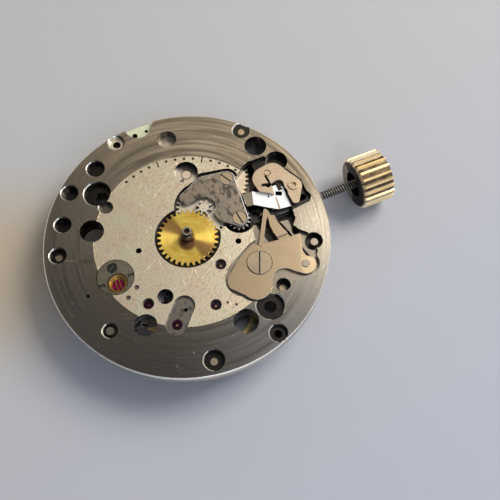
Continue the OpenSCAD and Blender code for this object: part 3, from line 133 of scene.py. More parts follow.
def new_group(name, inputs, output):
    """An empty shader group with float or vector inputs and one float output."""
    tree = bpy.data.node_groups.new(name, "ShaderNodeTree")
    for label, kind, value in inputs:
        socket = tree.interface.new_socket(label, in_out="INPUT", socket_type=kind)
        if value is not None:
            socket.default_value = value
    tree.interface.new_socket(output, in_out="OUTPUT", socket_type="NodeSocketFloat")
    given = tree.nodes.new("NodeGroupInput").outputs
    return tree, given, tree.nodes.new("NodeGroupOutput").inputs[0]


def put(tree, kind, inputs, **settings):
    """Adds a node and sets its properties, then links each input or gives it a value."""
    node = tree.nodes.new(kind)
    for key, value in settings.items():
        setattr(node, key, value)
    for place, given in inputs.items():
        if isinstance(given, bpy.types.NodeSocket):
            tree.links.new(given, node.inputs[place])
        else:
            node.inputs[place].default_value = given
    return node


print("node helpers ready")

# %% Helpers for numbers and vectors
NUMBER_STEPS = ("LENGTH", "DISTANCE", "DOT_PRODUCT")


def maths(tree, step, *values, **settings):
    """One step of arithmetic on numbers."""
    return put(tree, "ShaderNodeMath", dict(enumerate(values)), operation=step,
               **settings).outputs[0]


def vectors(tree, step, *values):
    """One step of arithmetic on vectors. Lengths, distances and products are numbers."""
    node = put(tree, "ShaderNodeVectorMath", dict(enumerate(values)), operation=step)
    return node.outputs["Value" if step in NUMBER_STEPS else "Vector"]


def stretched(tree, value, low, high, start=0.0, end=1.0, kind="LINEAR"):
    """Carries the range from low to high over to start and end, and goes no further."""
    return put(tree, "ShaderNodeMapRange",
               {"Value": value, "From Min": low, "From Max": high, "To Min": start,
                "To Max": end}, interpolation_type=kind).outputs[0]


def noise(tree, spot, scale=1.0, detail=2.0):
    """Soft noise, with a lump about every unit of length at a scale of 1."""
    return put(tree, "ShaderNodeTexNoise",
               {"Vector": spot, "Scale": scale, "Detail": detail}).outputs["Fac"]


print("steps that give a number:", NUMBER_STEPS)

# %% Helpers for colours and groups
def mixed(tree, share, first, second, blend="MIX"):
    """Mixes two colours. Each one is a socket or four plain numbers."""
    return put(tree, "ShaderNodeMix", {0: share, 6: first, 7: second}, data_type="RGBA",
               blend_type=blend).outputs[2]


def colour_ramp(tree, value, stops):
    """A ramp of colours. Each stop is its place and its colour, in rising order."""
    ramp = put(tree, "ShaderNodeValToRGB", {"Fac": value})
    elements = ramp.color_ramp.elements
    for element, (place, *tone) in zip(elements, (stops[0], stops[-1])):
        element.position = place
        element.color = (*tone, 1)
    for place, *tone in stops[1:-1]:
        element = elements.new(place)
        element.color = (*tone, 1)
    return ramp.outputs[0]


def effect(tree, group, inputs):
    """Places a node group and returns the value that it hands out."""
    return put(tree, "ShaderNodeGroup", inputs, node_tree=group).outputs[0]


print("colour helpers ready")

# %% Group: turned lines
def make_turned_lines():
    """Rings round the Z axis of the given position, broken along their length."""
    tree, given, result = new_group("turned_lines", [
        ("Position", VECTOR, None), ("Lines per mm", FLOAT, 8.0), ("Breaks", FLOAT, 2.0)],
        "Value")
    flat = vectors(tree, "MULTIPLY", given["Position"], (1, 1, 0))
    heading = vectors(tree, "NORMALIZE", flat)
    spread = put(tree, "ShaderNodeVectorMath", {0: heading, 3: given["Breaks"]},
                 operation="SCALE")
    ring = maths(tree, "MULTIPLY", vectors(tree, "LENGTH", flat), given["Lines per mm"])
    rise = put(tree, "ShaderNodeCombineXYZ", {2: ring})
    whole = vectors(tree, "ADD", spread.outputs[0], rise.outputs[0])
    tree.links.new(noise(tree, whole, detail=3.0), result)
    return tree


turned_lines = make_turned_lines()
print("group", turned_lines.name)

# %% Group: long grain
LINES_DOWN = 3.0


def make_long_grain():
    """Straight streaks along one direction, as a stone or a file leaves them."""
    tree, given, result = new_group("long_grain", [
        ("Position", VECTOR, None), ("Turn", FLOAT, 0.0), ("Lines per mm", FLOAT, 14.0),
        ("Length in mm", FLOAT, 1.5)], "Value")
    turned = put(tree, "ShaderNodeVectorRotate",
                 {"Vector": given["Position"], "Angle": given["Turn"]})
    along = maths(tree, "DIVIDE", 1.0, given["Length in mm"])
    pace = put(tree, "ShaderNodeCombineXYZ",
               {0: along, 1: given["Lines per mm"], 2: LINES_DOWN})
    drawn = vectors(tree, "MULTIPLY", turned.outputs[0], pace.outputs[0])
    tree.links.new(noise(tree, drawn, detail=2.5), result)
    return tree


long_grain = make_long_grain()
print("group", long_grain.name)

# %% Group: hair scratches
HAIRS = ((0.5, 1.6), (1.45, 2.3), (2.6, 3.0))
HAIR_FROM = 0.70
HAIR_FULL = 0.77


def make_hair_scratches():
    """A mask of thin lines in several directions, 1 on a scratch and 0 between."""
    tree, given, result = new_group("hair_scratches", [
        ("Position", VECTOR, None), ("Lines per mm", FLOAT, 13.0), ("Amount", FLOAT, 0.3)],
        "Mask")
    peaks = []
    for turn, length in HAIRS:
        grain = effect(tree, long_grain, {
            "Position": given["Position"], "Turn": turn,
            "Lines per mm": given["Lines per mm"], "Length in mm": length})
        peaks.append(stretched(tree, grain, HAIR_FROM, HAIR_FULL))
    most = peaks[0]
    for peak in peaks[1:]:
        most = maths(tree, "MAXIMUM", most, peak)
    tree.links.new(maths(tree, "MULTIPLY", most, given["Amount"]), result)
    return tree


hair_scratches = make_hair_scratches()
print("group", hair_scratches.name)

# %% Group: clouded patches
def make_patches():
    """Soft patches of age, from 0 to 1, of about the given size."""
    tree, given, result = new_group("patches", [
        ("Position", VECTOR, None), ("Per mm", FLOAT, 0.4), ("Sharpness", FLOAT, 2.0)], "Value")
    cloud = noise(tree, given["Position"], given["Per mm"], detail=5.0)
    middle = maths(tree, "SUBTRACT", cloud, 0.5)
    steep = maths(tree, "MULTIPLY", middle, given["Sharpness"])
    tree.links.new(maths(tree, "ADD", steep, 0.5, use_clamp=True), result)
    return tree


patches = make_patches()
print("group", patches.name)

# %% [markdown]
# A metal is one Principled shader. Its colour wanders between two tones, its roughness rises
# and falls with the tool marks, and a small Bump gives the marks their relief. Positions are
# object coordinates in millimetres, so a spacing in a material can be read as a real size.

# %% Start of a material
STEM_Z = -2.0


def new_finish(name):
    """A new material, its node tree, its shader and its object coordinates."""
    finish = bpy.data.materials.new(name)
    finish.use_nodes = True
    tree = finish.node_tree
    place = put(tree, "ShaderNodeTexCoord", {})
    return finish, tree, tree.nodes["Principled BSDF"], place.outputs["Object"]


def in_mm(tree, place, centre, axis):
    """The position in mm, round an upright line through centre or round the stem's axis."""
    start, turn = (centre[0] * MM, centre[1] * MM, 0), (0, 0, 0)
    if axis == "X":
        start, turn = (0, 0, STEM_Z * MM), (0, radians(90), 0)
    return put(tree, "ShaderNodeMapping", {"Vector": place, "Location": start,
                                           "Rotation": turn, "Scale": (MM, MM, MM)},
               vector_type="TEXTURE").outputs[0]


print("the stem's axis lies at", STEM_Z, "mm")

# %% Tint and painted shade by depth
TINT_SPOTS = 0.45
DEPTH_SHADE_FROM = -0.30
DEPTH_SHADE_FULL = -1.40
DEPTH_SHADE_TONE = (0.030, 0.026, 0.022, 1)
SCRATCH_TONE = (1.0, 0.93, 0.80, 1)


def tinted(tree, spot, colour, tint):
    """Multiplies a colour by two tints that drift over the metal."""
    specks = noise(tree, spot, TINT_SPOTS, detail=6.0)
    drift = colour_ramp(tree, specks, ((0.36, *tint[0]), (0.64, *tint[1])))
    return mixed(tree, 1.0, colour, drift, "MULTIPLY")


def shaded_by_depth(tree, spot, colour, most):
    """Painted shade: darkens a colour with its depth below the dial seat."""
    height = put(tree, "ShaderNodeSeparateXYZ", {0: spot}).outputs[2]
    depth = stretched(tree, height, DEPTH_SHADE_FROM, DEPTH_SHADE_FULL, end=most)
    return mixed(tree, depth, colour, DEPTH_SHADE_TONE)


print("grime is full at", DEPTH_SHADE_FULL, "mm")

# %% Tool marks and brushed gloss
BRUSH_TURN = 0.25


def tool_marks(tree, spot, lines, spacing, turn, length):
    """Turned lines or long grain, as the metal was cut."""
    if lines == "turned":
        return effect(tree, turned_lines, {
            "Position": spot, "Lines per mm": spacing, "Breaks": length})
    return effect(tree, long_grain, {
        "Position": spot, "Turn": turn, "Lines per mm": spacing, "Length in mm": length})


def brush(tree, shader, amount):
    """Stretches the gloss along rings round the Z axis."""
    shader.inputs["Anisotropic"].default_value = amount
    shader.inputs["Anisotropic Rotation"].default_value = BRUSH_TURN
    ways = put(tree, "ShaderNodeTangent", {}, direction_type="RADIAL", axis="Z")
    tree.links.new(ways.outputs[0], shader.inputs["Tangent"])


print("brushed gloss is turned by", BRUSH_TURN)

# %% Build a metal
def metal(name, light, dark, rough, lines="grain", spacing=14.0, turn=0.0, length=1.5,
          centre=(0, 0), axis="Z", relief=0.003, worn=0.25, cloud=0.5, swing=0.12, tint=None,
          brushed=0.0, depth_shade=0.0, shine=0.0, bare=1.0, contrast=0.35, bite=1.0, patchy=2.0,
          paint=None):
    """A metal between two tones, with tool marks, scratches and patches of age.

    spacing, turn, length and relief shape the tool marks, in lines per mm and mm. worn and
    shine are the scratches' depth and brightness, cloud and patchy the patches' number per mm
    and sharpness. bite weighs marks against patches, contrast is the span between the tones,
    swing the change in roughness, bare how much plain metal shows. paint alters the colour.
    """
    finish, tree, shader, place = new_finish(name)
    spot = in_mm(tree, place, centre, axis)
    marks = tool_marks(tree, spot, lines, spacing, turn, length)
    hairs = effect(tree, hair_scratches, {"Position": spot, "Amount": worn})
    clouds = effect(tree, patches, {"Position": spot, "Per mm": cloud, "Sharpness": patchy})
    tone = maths(tree, "MULTIPLY_ADD", marks, bite, clouds)
    usual = 0.5 * bite + 0.5
    shade = stretched(tree, tone, usual - 2 * contrast, usual + 2 * contrast)
    colour = mixed(tree, shade, (*dark, 1), (*light, 1))
    if tint:
        colour = tinted(tree, spot, colour, tint)
    if shine:
        colour = mixed(tree, maths(tree, "MULTIPLY", hairs, shine), colour, SCRATCH_TONE)
    # Painted shade that deepens with depth below the dial seat.
    if depth_shade:
        colour = shaded_by_depth(tree, spot, colour, depth_shade)
    if paint:
        colour = paint(tree, spot, colour)
    tree.links.new(colour, shader.inputs["Base Color"])
    tree.links.new(stretched(tree, shade, 0, 1, rough + swing, rough - swing),
                   shader.inputs["Roughness"])
    shader.inputs["Metallic"].default_value = bare
    bump = put(tree, "ShaderNodeBump", {"Height": maths(tree, "SUBTRACT", marks, hairs),
                                        "Strength": 1.0, "Distance": relief * MM})
    tree.links.new(bump.outputs[0], shader.inputs["Normal"])
    if brushed:
        brush(tree, shader, brushed)
    finish.diffuse_color = (*light, 1)
    return finish


print("metal helper ready")

# %% [markdown]
# The main plate is nickel-plated brass. Its outer ring is turned, so it throws a fan of light
# like a record, while the disc under the dial is stoned to a matt cream. Pockets are milled
# and duller, with painted shade on their walls and deep floors, and the broken edges are
# bright. The names say what each finish is on the plate.

# %% Finishes of the plate's ring, disc and edges
ring_metal = metal("turned_nickel", (0.82, 0.73, 0.60), (0.36, 0.31, 0.24), 0.20, "turned",
                   spacing=3.0, length=1.5, relief=0.006, cloud=0.30, brushed=0.74, worn=0.4,
                   shine=0.15, contrast=0.38, bite=5, swing=0.05, patchy=1.0)
disc_metal = metal("stoned_nickel", (1.0, 0.91, 0.76), (0.56, 0.47, 0.355), 0.45,
                   spacing=5.0, turn=radians(-38), length=0.3, relief=0.008, worn=0.8,
                   cloud=0.4, tint=((1.0, 0.91, 0.84), (0.97, 1.0, 0.86)), shine=0.4,
                   contrast=0.34, bite=5, patchy=1.0, bare=0.85)
edge_metal = metal("broken_edge", (1.0, 0.96, 0.84), (0.90, 0.82, 0.66), 0.27,
                   spacing=4, relief=0.001, swing=0.06, bare=0.85)
under_metal = metal("plate_underside", (0.70, 0.65, 0.57), (0.44, 0.40, 0.34), 0.34, "turned",
                    spacing=6, relief=0.004, cloud=0.4)
print("made", ring_metal.name, disc_metal.name, edge_metal.name, under_metal.name)

# %% Finishes of the plate's pockets
# Painted shade: the milled floors darken with depth, and the near-black pocket walls and wells
# stand for shade where little light reaches.
floor_metal = metal("milled_nickel", (0.62, 0.54, 0.42), (0.24, 0.20, 0.15), 0.36,
                    spacing=6, turn=0.6, length=1.0, relief=0.005, cloud=0.8, depth_shade=0.97)
wall_metal = metal("pocket_wall", (0.13, 0.12, 0.105), (0.03, 0.026, 0.022), 0.24,
                   spacing=5, relief=0.004, depth_shade=0.6)
well_metal = metal("dark_well", (0.10, 0.09, 0.08), (0.02, 0.018, 0.015), 0.30,
                   spacing=5, relief=0.004)
cream_metal = metal("bright_floor", (0.95, 0.84, 0.66), (0.74, 0.62, 0.45), 0.34,
                    spacing=4, relief=0.002, cloud=1.2, bare=0.6)
slot_metal = metal("swirled_floor", (0.90, 0.79, 0.63), (0.11, 0.10, 0.085), 0.30,
                   spacing=3, turn=radians(60), length=0.8, relief=0.004, cloud=1.0,
                   contrast=0.28, bite=2, patchy=4)
notch_metal = metal("green_stain", (0.86, 0.88, 0.60), (0.62, 0.62, 0.40), 0.42,
                    spacing=4, relief=0.002, cloud=1.6, bare=0.3)
# The polished strip's white is a painted highlight: a white non-metal as bright as the mirrored
# window. The motion cover's far edges use it as a painted highlight too.
polish_highlight_metal = metal("polished_painted_highlight", (1.0, 0.99, 0.95), (0.99, 0.96, 0.90), 0.45,
                     spacing=8, turn=radians(-12), length=3, relief=0.001, swing=0.05,
                     bare=0.0)
print("made", floor_metal.name, wall_metal.name, well_metal.name, cream_metal.name,
      slot_metal.name, notch_metal.name, polish_highlight_metal.name)

# %% [markdown]
# The floor of the barrel's hole is a bright cup, dark on the far side where it mirrors its own
# wall. A deeper cup would cut into the barrel below it, so the dark side is painted: a product
# with one direction gives each point's distance to that side, and a soft range fades it in.

# %% The cup over the barrel
CUP_AT = Vector((2.15, 6.24))
CUP_DARK_WAY = (to_back * 0.93 + to_right * 0.37).normalized()
CUP_DARK_FROM = -0.15
CUP_DARK_FULL = 0.55
CUP_DARK_MOST = 0.97
CUP_DARK_TONE = (0.035, 0.03, 0.03, 1)


def painted_wall_reflection(tree, spot, colour):
    """Painted reflection: darkens the far side of the cup, where it mirrors its own wall."""
    away = vectors(tree, "SUBTRACT", spot, (CUP_AT.x, CUP_AT.y, 0))
    back = vectors(tree, "DOT_PRODUCT", away, tuple(CUP_DARK_WAY))
    dark = stretched(tree, back, CUP_DARK_FROM, CUP_DARK_FULL, end=CUP_DARK_MOST,
                     kind="SMOOTHSTEP")
    return mixed(tree, dark, colour, CUP_DARK_TONE)


cup_metal = metal("barrel_cup", (0.98, 0.86, 0.68), (0.80, 0.68, 0.51), 0.34,
                  spacing=4, relief=0.002, cloud=1.2, bare=0.6, paint=painted_wall_reflection)
print("cup at", CUP_AT[:], "mm")

# %% Finishes of the steel
tan_metal = metal("tan_steel", (0.55, 0.42, 0.265), (0.38, 0.28, 0.175), 0.44,
                  spacing=14, turn=radians(24), length=1.2, relief=0.003, cloud=0.6)
lever_metal = metal("lever_steel", (0.66, 0.51, 0.35), (0.46, 0.34, 0.23), 0.46,
                    spacing=10, turn=radians(24), length=1.2, relief=0.003, cloud=0.6, bare=0.8)
screw_metal = metal("pale_screw", (0.74, 0.60, 0.40), (0.50, 0.38, 0.24), 0.34,
                    spacing=9, turn=radians(60), length=0.8, relief=0.003)
cover_metal = metal("grey_cover", (0.66, 0.575, 0.46), (0.12, 0.10, 0.08), 0.34,
                    spacing=3.0, turn=radians(100), length=0.5, relief=0.006, worn=0.7,
                    cloud=1.1, shine=0.4, contrast=0.32, bite=5, patchy=3.5)
pin_metal = metal("grey_pin", (0.60, 0.52, 0.41), (0.28, 0.23, 0.18), 0.34,
                  spacing=6, relief=0.002)
steel_metal = metal("bright_steel", (0.66, 0.62, 0.56), (0.38, 0.35, 0.31), 0.30,
                    spacing=12, relief=0.002)
dark_metal = metal("dark_steel", (0.16, 0.145, 0.13), (0.04, 0.035, 0.03), 0.33, "turned",
                   spacing=8, axis="X", relief=0.003)
crest_metal = metal("thread_crest", (0.62, 0.58, 0.50), (0.34, 0.30, 0.25), 0.32, "turned",
                    spacing=6, axis="X", relief=0.002, bare=0.8)
olive_metal = metal("olive_steel", (0.56, 0.50, 0.36), (0.28, 0.25, 0.18), 0.34,
                    spacing=9, relief=0.003, cloud=1.2)
blue_metal = metal("blued_steel", (0.16, 0.24, 0.52), (0.07, 0.10, 0.28), 0.25, relief=0.001)
print("metals so far:", len(bpy.data.materials))

# %% Finishes of the brass
# On the hour wheel's pipe this dark brass is painted shade.
pipe_metal = metal("dark_brass", (0.20, 0.12, 0.07), (0.05, 0.03, 0.02), 0.34, "turned",
                   spacing=6, relief=0.003)
post_metal = metal("warm_post", (1.0, 0.84, 0.64), (0.80, 0.60, 0.42), 0.36,
                   spacing=6, relief=0.002, bare=0.6)
train_brass = metal("train_brass", (0.90, 0.68, 0.28), (0.62, 0.42, 0.14), 0.34,
                    spacing=10, relief=0.002)
gold_metal = metal("gilt", (0.98, 0.72, 0.28), (0.74, 0.50, 0.17), 0.22,
                   relief=0.001, swing=0.08)
print("made", pipe_metal.name, post_metal.name, train_brass.name, gold_metal.name)

# %% [markdown]
# The hour wheel is brass that was faced on a lathe. Anisotropic gloss spreads the window into
# two bright fans, but under soft light the wedges between the fans stay too pale. So the two
# wedges are painted brown as a painted dark reflection, and the short shadow that the pipe
# throws in front of it is a painted shadow.

# %% Brass of the hour wheel
WEDGE_WAY = (to_right * 0.82 - to_back * 0.57).normalized()
WEDGE_FROM = 0.89
WEDGE_FULL = 0.99
WEDGE_MOST = 0.85
SHADOW_AT = to_back * -0.5
SHADOW_FROM = 0.95
SHADOW_FULL = 0.60
BROWN_TONE = (0.24, 0.11, 0.035, 1)


def painted_wedges_and_shadow(tree, spot, colour):
    """Two brown wedges on either side of the pipe as painted dark reflection, and the pipe's
    painted shadow.
    """
    flat = vectors(tree, "MULTIPLY", spot, (1, 1, 0))
    along = vectors(tree, "DOT_PRODUCT", vectors(tree, "NORMALIZE", flat), tuple(WEDGE_WAY))
    wedge = stretched(tree, maths(tree, "ABSOLUTE", along), WEDGE_FROM, WEDGE_FULL,
                      end=WEDGE_MOST, kind="SMOOTHSTEP")
    shadow = stretched(tree, vectors(tree, "DISTANCE", flat, tuple(SHADOW_AT)), SHADOW_FROM,
                       SHADOW_FULL, kind="SMOOTHSTEP")
    brown = maths(tree, "MAXIMUM", wedge, shadow)
    return mixed(tree, brown, colour, BROWN_TONE)


brass_metal = metal("turned_brass", (1.0, 0.76, 0.16), (0.74, 0.41, 0.04), 0.32, "turned",
                    spacing=3, length=1.2, relief=0.008, cloud=0.7, brushed=0.85, bare=0.5,
                    contrast=0.42, bite=3.5, swing=0.05, paint=painted_wedges_and_shadow)
print("metals in all:", len(bpy.data.materials))

# %% [markdown]
# The jewels are synthetic ruby. A clear ruby would need a bright floor behind it, so the stone
# is a deep red with a hard clear coat, which reads as ruby at this size and exports well.

# %% Ruby
RUBY_SPOTS = 2.0 / MM


def make_ruby(name, light, dark):
    """A red stone, a little uneven in depth, under a clear coat."""
    stone, tree, shader, place = new_finish(name)
    veil = noise(tree, place, RUBY_SPOTS)
    tree.links.new(mixed(tree, veil, (*dark, 1), (*light, 1)), shader.inputs["Base Color"])
    shader.inputs["Roughness"].default_value = 0.12
    shader.inputs["Coat Weight"].default_value = 1.0
    shader.inputs["Coat Roughness"].default_value = 0.03
    return stone


ruby = make_ruby("ruby", (0.035, 0.001, 0.012), (0.006, 0.0005, 0.003))
cap_ruby = make_ruby("cap_ruby", (0.34, 0.004, 0.08), (0.04, 0.0005, 0.008))
print("made", ruby.name, "and", cap_ruby.name)

# %% [markdown]
# A solid from CAD has perfectly sharp edges, and real metal never has. Each visible node is
# copied, its loose triangles are merged, flat faces are joined, and sharp edges are bevelled by
# a few hundredths of a millimetre. The narrow new faces get the bright edge finish, unless the
# piece has its own rule for them. The copy then stands for the node and rides on the same body.

# %% Whole faces from loose triangles
MERGE_WITHIN = 0.0008
FLAT_WITHIN = radians(0.4)


def merged(node):
    """A copy of a node's mesh with its triangles merged and its flat faces joined."""
    mesh = bmesh.new()
    mesh.from_mesh(frame["nodes"][node].data)
    bmesh.ops.remove_doubles(mesh, verts=mesh.verts, dist=MERGE_WITHIN * MM)
    bmesh.ops.dissolve_limit(mesh, angle_limit=FLAT_WITHIN, verts=mesh.verts, edges=mesh.edges)
    return mesh


def finished(name, mesh, finishes):
    """Turns a bmesh in metres into an object with the given materials."""
    data = bpy.data.meshes.new(name)
    mesh.to_mesh(data)
    mesh.free()
    for finish in finishes:
        data.materials.append(finish)
    piece = bpy.data.objects.new(name, data)
    scene.collection.objects.link(piece)
    return piece


print("points closer than", MERGE_WITHIN, "mm are merged")

# %% Broken edges and shading
FACE, EDGE, SIDE = range(3)
SMOOTH_UNDER = radians(24)


def assign(faces, usual, pick):
    """Gives faces their usual finish, or the one that pick names for place and direction."""
    for face in faces:
        face.material_index = usual
        if pick:
            face.material_index = pick(face.calc_center_median() / MM, face.normal)


def break_edges(mesh, width, sharp):
    """Bevels edges that turn by more than sharp degrees, and returns the new faces."""
    corners = [e for e in mesh.edges
               if len(e.link_faces) == 2 and e.calc_face_angle(0) > radians(sharp)]
    return bmesh.ops.bevel(mesh, geom=corners, offset=width * MM, offset_type="OFFSET",
                           segments=1, profile=0.5, affect="EDGES", material=-1,
                           clamp_overlap=True)["faces"]


def smooth(mesh):
    """Shades round walls smooth and keeps large flat faces and sharp edges crisp."""
    for face in mesh.faces:
        face.smooth = len(face.verts) <= 4
    for e in mesh.edges:
        e.smooth = len(e.link_faces) == 2 and e.calc_face_angle(0) < SMOOTH_UNDER


print("finishes are given as face, edge and side:", FACE, EDGE, SIDE)

# %% Dress a node
def dressed(node, finishes, edge=0.03, sharp=32, pick=None, pick_edge=None, change=None):
    """A copy of a CAD node with broken edges, an edge's width in mm.

    The finishes are those of the faces, of the edges and of the sides, then any others. pick
    names a face's finish by its place in mm and its direction, and pick_edge an edge's.
    """
    mesh = merged(node)
    if change:
        change(mesh)
    assign(mesh.faces, FACE, pick)
    if edge:
        assign(break_edges(mesh, edge, sharp), EDGE, pick_edge)
    smooth(mesh)
    piece = finished(node + "_finish", mesh, finishes)
    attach(piece, frame["nodes"][node]["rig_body"])
    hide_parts(node)
    return piece


# %% [markdown]
# The main plate is one machined piece with thirteen finishes. A face's height and direction
# say which cutter made it: the ring stands highest, the disc lies a tenth of a millimetre
# lower, and everything deeper is a milled pocket. A few pockets are told apart by their place.
# Dark walls, wells and deep floors are painted shade, and rims get a painted highlight where
# they face the window and painted shade elsewhere.

# %% Finishes and heights on the main plate
RING, EDGE, DISC, FLOOR, WALL, POLISH_HIGHLIGHT, STAIN, WELL, CREAM, TAN, SWIRL, CUP, UNDER = range(13)
PLATE_FINISHES = [ring_metal, edge_metal, disc_metal, floor_metal, wall_metal, polish_highlight_metal,
                  notch_metal, well_metal, cream_metal, tan_metal, slot_metal, cup_metal,
                  under_metal]
LEVEL = 0.95
SLOPED = 0.3
RING_LOW = -0.03
DISC_LOW = -0.14
RING_R = 8.37
STEP_WIDTH = 0.1
PLATE_SIDE = 12.3
PLATE_RIM = 12.6
print("finishes on the main plate:", len(PLATE_FINISHES))

# %% Places on the main plate
MARKS_FROM = 7.6
MARKS_LOW, MARKS_HIGH = -0.2, -0.105
STRIP_DEPTH = 0.45
STRIP_FROM = Vector((6.7, -0.8))
STRIP_TO = Vector((10.1, 2.4))
SCORE_DEPTH = 0.49
NOTCH_DEPTH = 0.5
NOTCH_FROM = 11.2
NOTCH_HALF = 2
CREAM_WALL = 6.1
CREAM_WALL_FROM, CREAM_WALL_TO = -3, 1.2
CREAM_AT = Vector((-2.84, 11.62))
SMALL_R = 0.5
SLOT_AT = Vector((-3.06, -6.5))
SLOT_R = 1.3
WHEEL_WELLS = (0.34, 0.42, 0.76)
WELLS_FROM = -4
OUTER_WELLS = 8.7
DEEP_WELLS = -0.78
KEYLESS_FROM = 5
WINDOW_SIDE = to_right * 0.9 + to_back * 0.3
print("the polished strip reaches from", STRIP_FROM[:], "to", STRIP_TO[:])

# %% Main plate
def plate_surface(at, facing):
    """Finish of a face of the main plate."""
    reach = Vector((at.x, at.y)).length
    if MARKS_FROM < reach < RING_R and MARKS_LOW < at.z < MARKS_HIGH:
        return WELL
    if SLOPED < facing.z < LEVEL:
        return rim_finish(at, facing)
    if facing.z > LEVEL:
        return floor_finish(at, reach)
    if facing.z < -LEVEL:
        return UNDER
    if reach > PLATE_SIDE:
        return RING
    if at.z > -STEP_WIDTH and abs(reach - RING_R) < STEP_WIDTH:
        return FLOOR
    if (facing.x > 0.9 and abs(at.x - CREAM_WALL) < 0.15
            and CREAM_WALL_FROM < at.y < CREAM_WALL_TO):
        return CREAM
    # The step beside the polished strip gets the tan finish as painted shade.
    if -SCORE_DEPTH < at.z < -STRIP_DEPTH and at.x > STRIP_FROM.x:
        return TAN
    return WALL


def floor_finish(at, reach):
    """Finish of a level face: a few floors are polished, the strip's with a painted highlight,
    and the deep and outer ones are painted in shade.
    """
    spot = Vector((at.x, at.y))
    if at.z > DISC_LOW:
        return RING if at.z > RING_LOW else DISC
    if (abs(at.z + STRIP_DEPTH) < 0.01 and STRIP_FROM.x < at.x < STRIP_TO.x
            and STRIP_FROM.y < at.y < STRIP_TO.y):
        return POLISH_HIGHLIGHT
    if abs(at.z + NOTCH_DEPTH) < 0.01 and at.y > NOTCH_FROM and abs(at.x) < NOTCH_HALF:
        return STAIN
    # Floors at the step's depth get the tan finish as painted shade.
    if abs(at.z + SCORE_DEPTH) < 0.004:
        return TAN
    if (spot - SLOT_AT).length < SLOT_R and at.z > -NOTCH_DEPTH:
        return SWIRL
    if (spot - CUP_AT).length < SMALL_R:
        return CUP
    if (spot - CREAM_AT).length < SMALL_R:
        return CREAM
    if any(abs(at.z + depth) < 0.01 for depth in WHEEL_WELLS) and at.y > WELLS_FROM:
        return WELL
    return WELL if reach > OUTER_WELLS or at.z < DEEP_WELLS else FLOOR


def rim_finish(at, facing):
    """Rims that face the window get the bright edge finish as a painted highlight; the others
    get painted shade, and the ring's step is dull.
    """
    reach = Vector((at.x, at.y)).length
    if at.z > -0.12 and abs(reach - RING_R) < STEP_WIDTH:
        return RING
    if reach > PLATE_RIM or at.x > KEYLESS_FROM:
        return EDGE
    return EDGE if facing.dot(WINDOW_SIDE) > 0.2 else WALL


plate = dressed("mainplate", PLATE_FINISHES, edge=0.035, pick=plate_surface,
                pick_edge=rim_finish)
print(plate.name, "faces:", len(plate.data.polygons))

# %% [markdown]
# The stem ends in a fine thread that screws into the crown. A texture could fake the turns, but
# they show in outline, so the thread is real: a V is spun round the stem's axis while it
# steps along it. The plain end of the CAD stem is cut away with a plane to make room.

# %% Stem with its thread
THREAD_FROM = 12.95
THREAD_TO = 17.4
THREAD_R = 0.42
CORE_R = 0.31
PITCH = 0.25
STEPS = 24


def cut_thread(mesh):
    """Cuts the plain end off the stem and puts a core with a spun thread in its place."""
    bmesh.ops.bisect_plane(mesh, geom=mesh.verts[:] + mesh.edges[:] + mesh.faces[:],
                           plane_co=(THREAD_FROM * MM, 0, 0), plane_no=(1, 0, 0),
                           clear_outer=True)
    bmesh.ops.holes_fill(mesh, edges=[e for e in mesh.edges if e.is_boundary])
    end = max(v.co.x for v in frame["nodes"]["stem"].data.vertices) / MM
    middle = Vector(((THREAD_FROM + end) / 2 - 0.02, 0, STEM_Z)) * MM
    bmesh.ops.create_cone(mesh, cap_ends=True, segments=STEPS, radius1=CORE_R * MM,
                          radius2=CORE_R * MM, depth=(end - THREAD_FROM) * MM,
                          matrix=Matrix.Translation(middle) @ Matrix.Rotation(pi / 2, 4, "Y"))
    turns = (THREAD_TO - THREAD_FROM) / PITCH
    low = CORE_R - 0.02
    vee = [mesh.verts.new(((THREAD_FROM + x) * MM, 0, (STEM_Z + r) * MM))
           for x, r in ((0, low), (0.42 * PITCH, THREAD_R), (0.58 * PITCH, THREAD_R),
                        (0.98 * PITCH, low))]
    sides = [mesh.edges.new(pair) for pair in zip(vee, vee[1:])]
    mesh.faces.new(vee)
    bmesh.ops.spin(mesh, geom=vee + sides, cent=(0, 0, STEM_Z * MM), axis=(1, 0, 0),
                   dvec=(PITCH / STEPS * MM, 0, 0), angle=2 * pi * turns,
                   steps=round(STEPS * turns))
    bmesh.ops.recalc_face_normals(mesh, faces=mesh.faces)


def thread_surface(at, facing):
    """The thread's crests have the edges' bright finish, all else is dark."""
    reach = Vector((at.y, at.z - STEM_Z)).length
    return EDGE if at.x > THREAD_FROM and reach > THREAD_R - 0.03 else FACE


stem = dressed("stem", [dark_metal, crest_metal], edge=0, change=cut_thread,
               pick=thread_surface)
print(stem.name, "faces:", len(stem.data.polygons))

# %% [markdown]
# The crown is gilt, but years of winding have worn it. Gold stays on the ridges' shoulders,
# nickel shows on their flanks, and the grooves are darkest. All three follow the
# distance from the stem's axis, so the material measures that distance.

# %% Finishes of the crown
CROWN_R = 2.47
CROWN_LAYERS = ((0.00, 0.05, 0.035, 0.02), (0.08, 0.16, 0.11, 0.06), (0.16, 0.62, 0.54, 0.42),
                (0.50, 0.80, 0.76, 0.69), (0.74, 0.98, 0.76, 0.40), (1.00, 1.0, 0.80, 0.42))
LAYERS_FROM = CROWN_R - 0.24
LAYERS_TO = CROWN_R + 0.03
UNEVEN = 0.03
GOLD_SHARE = 0.35


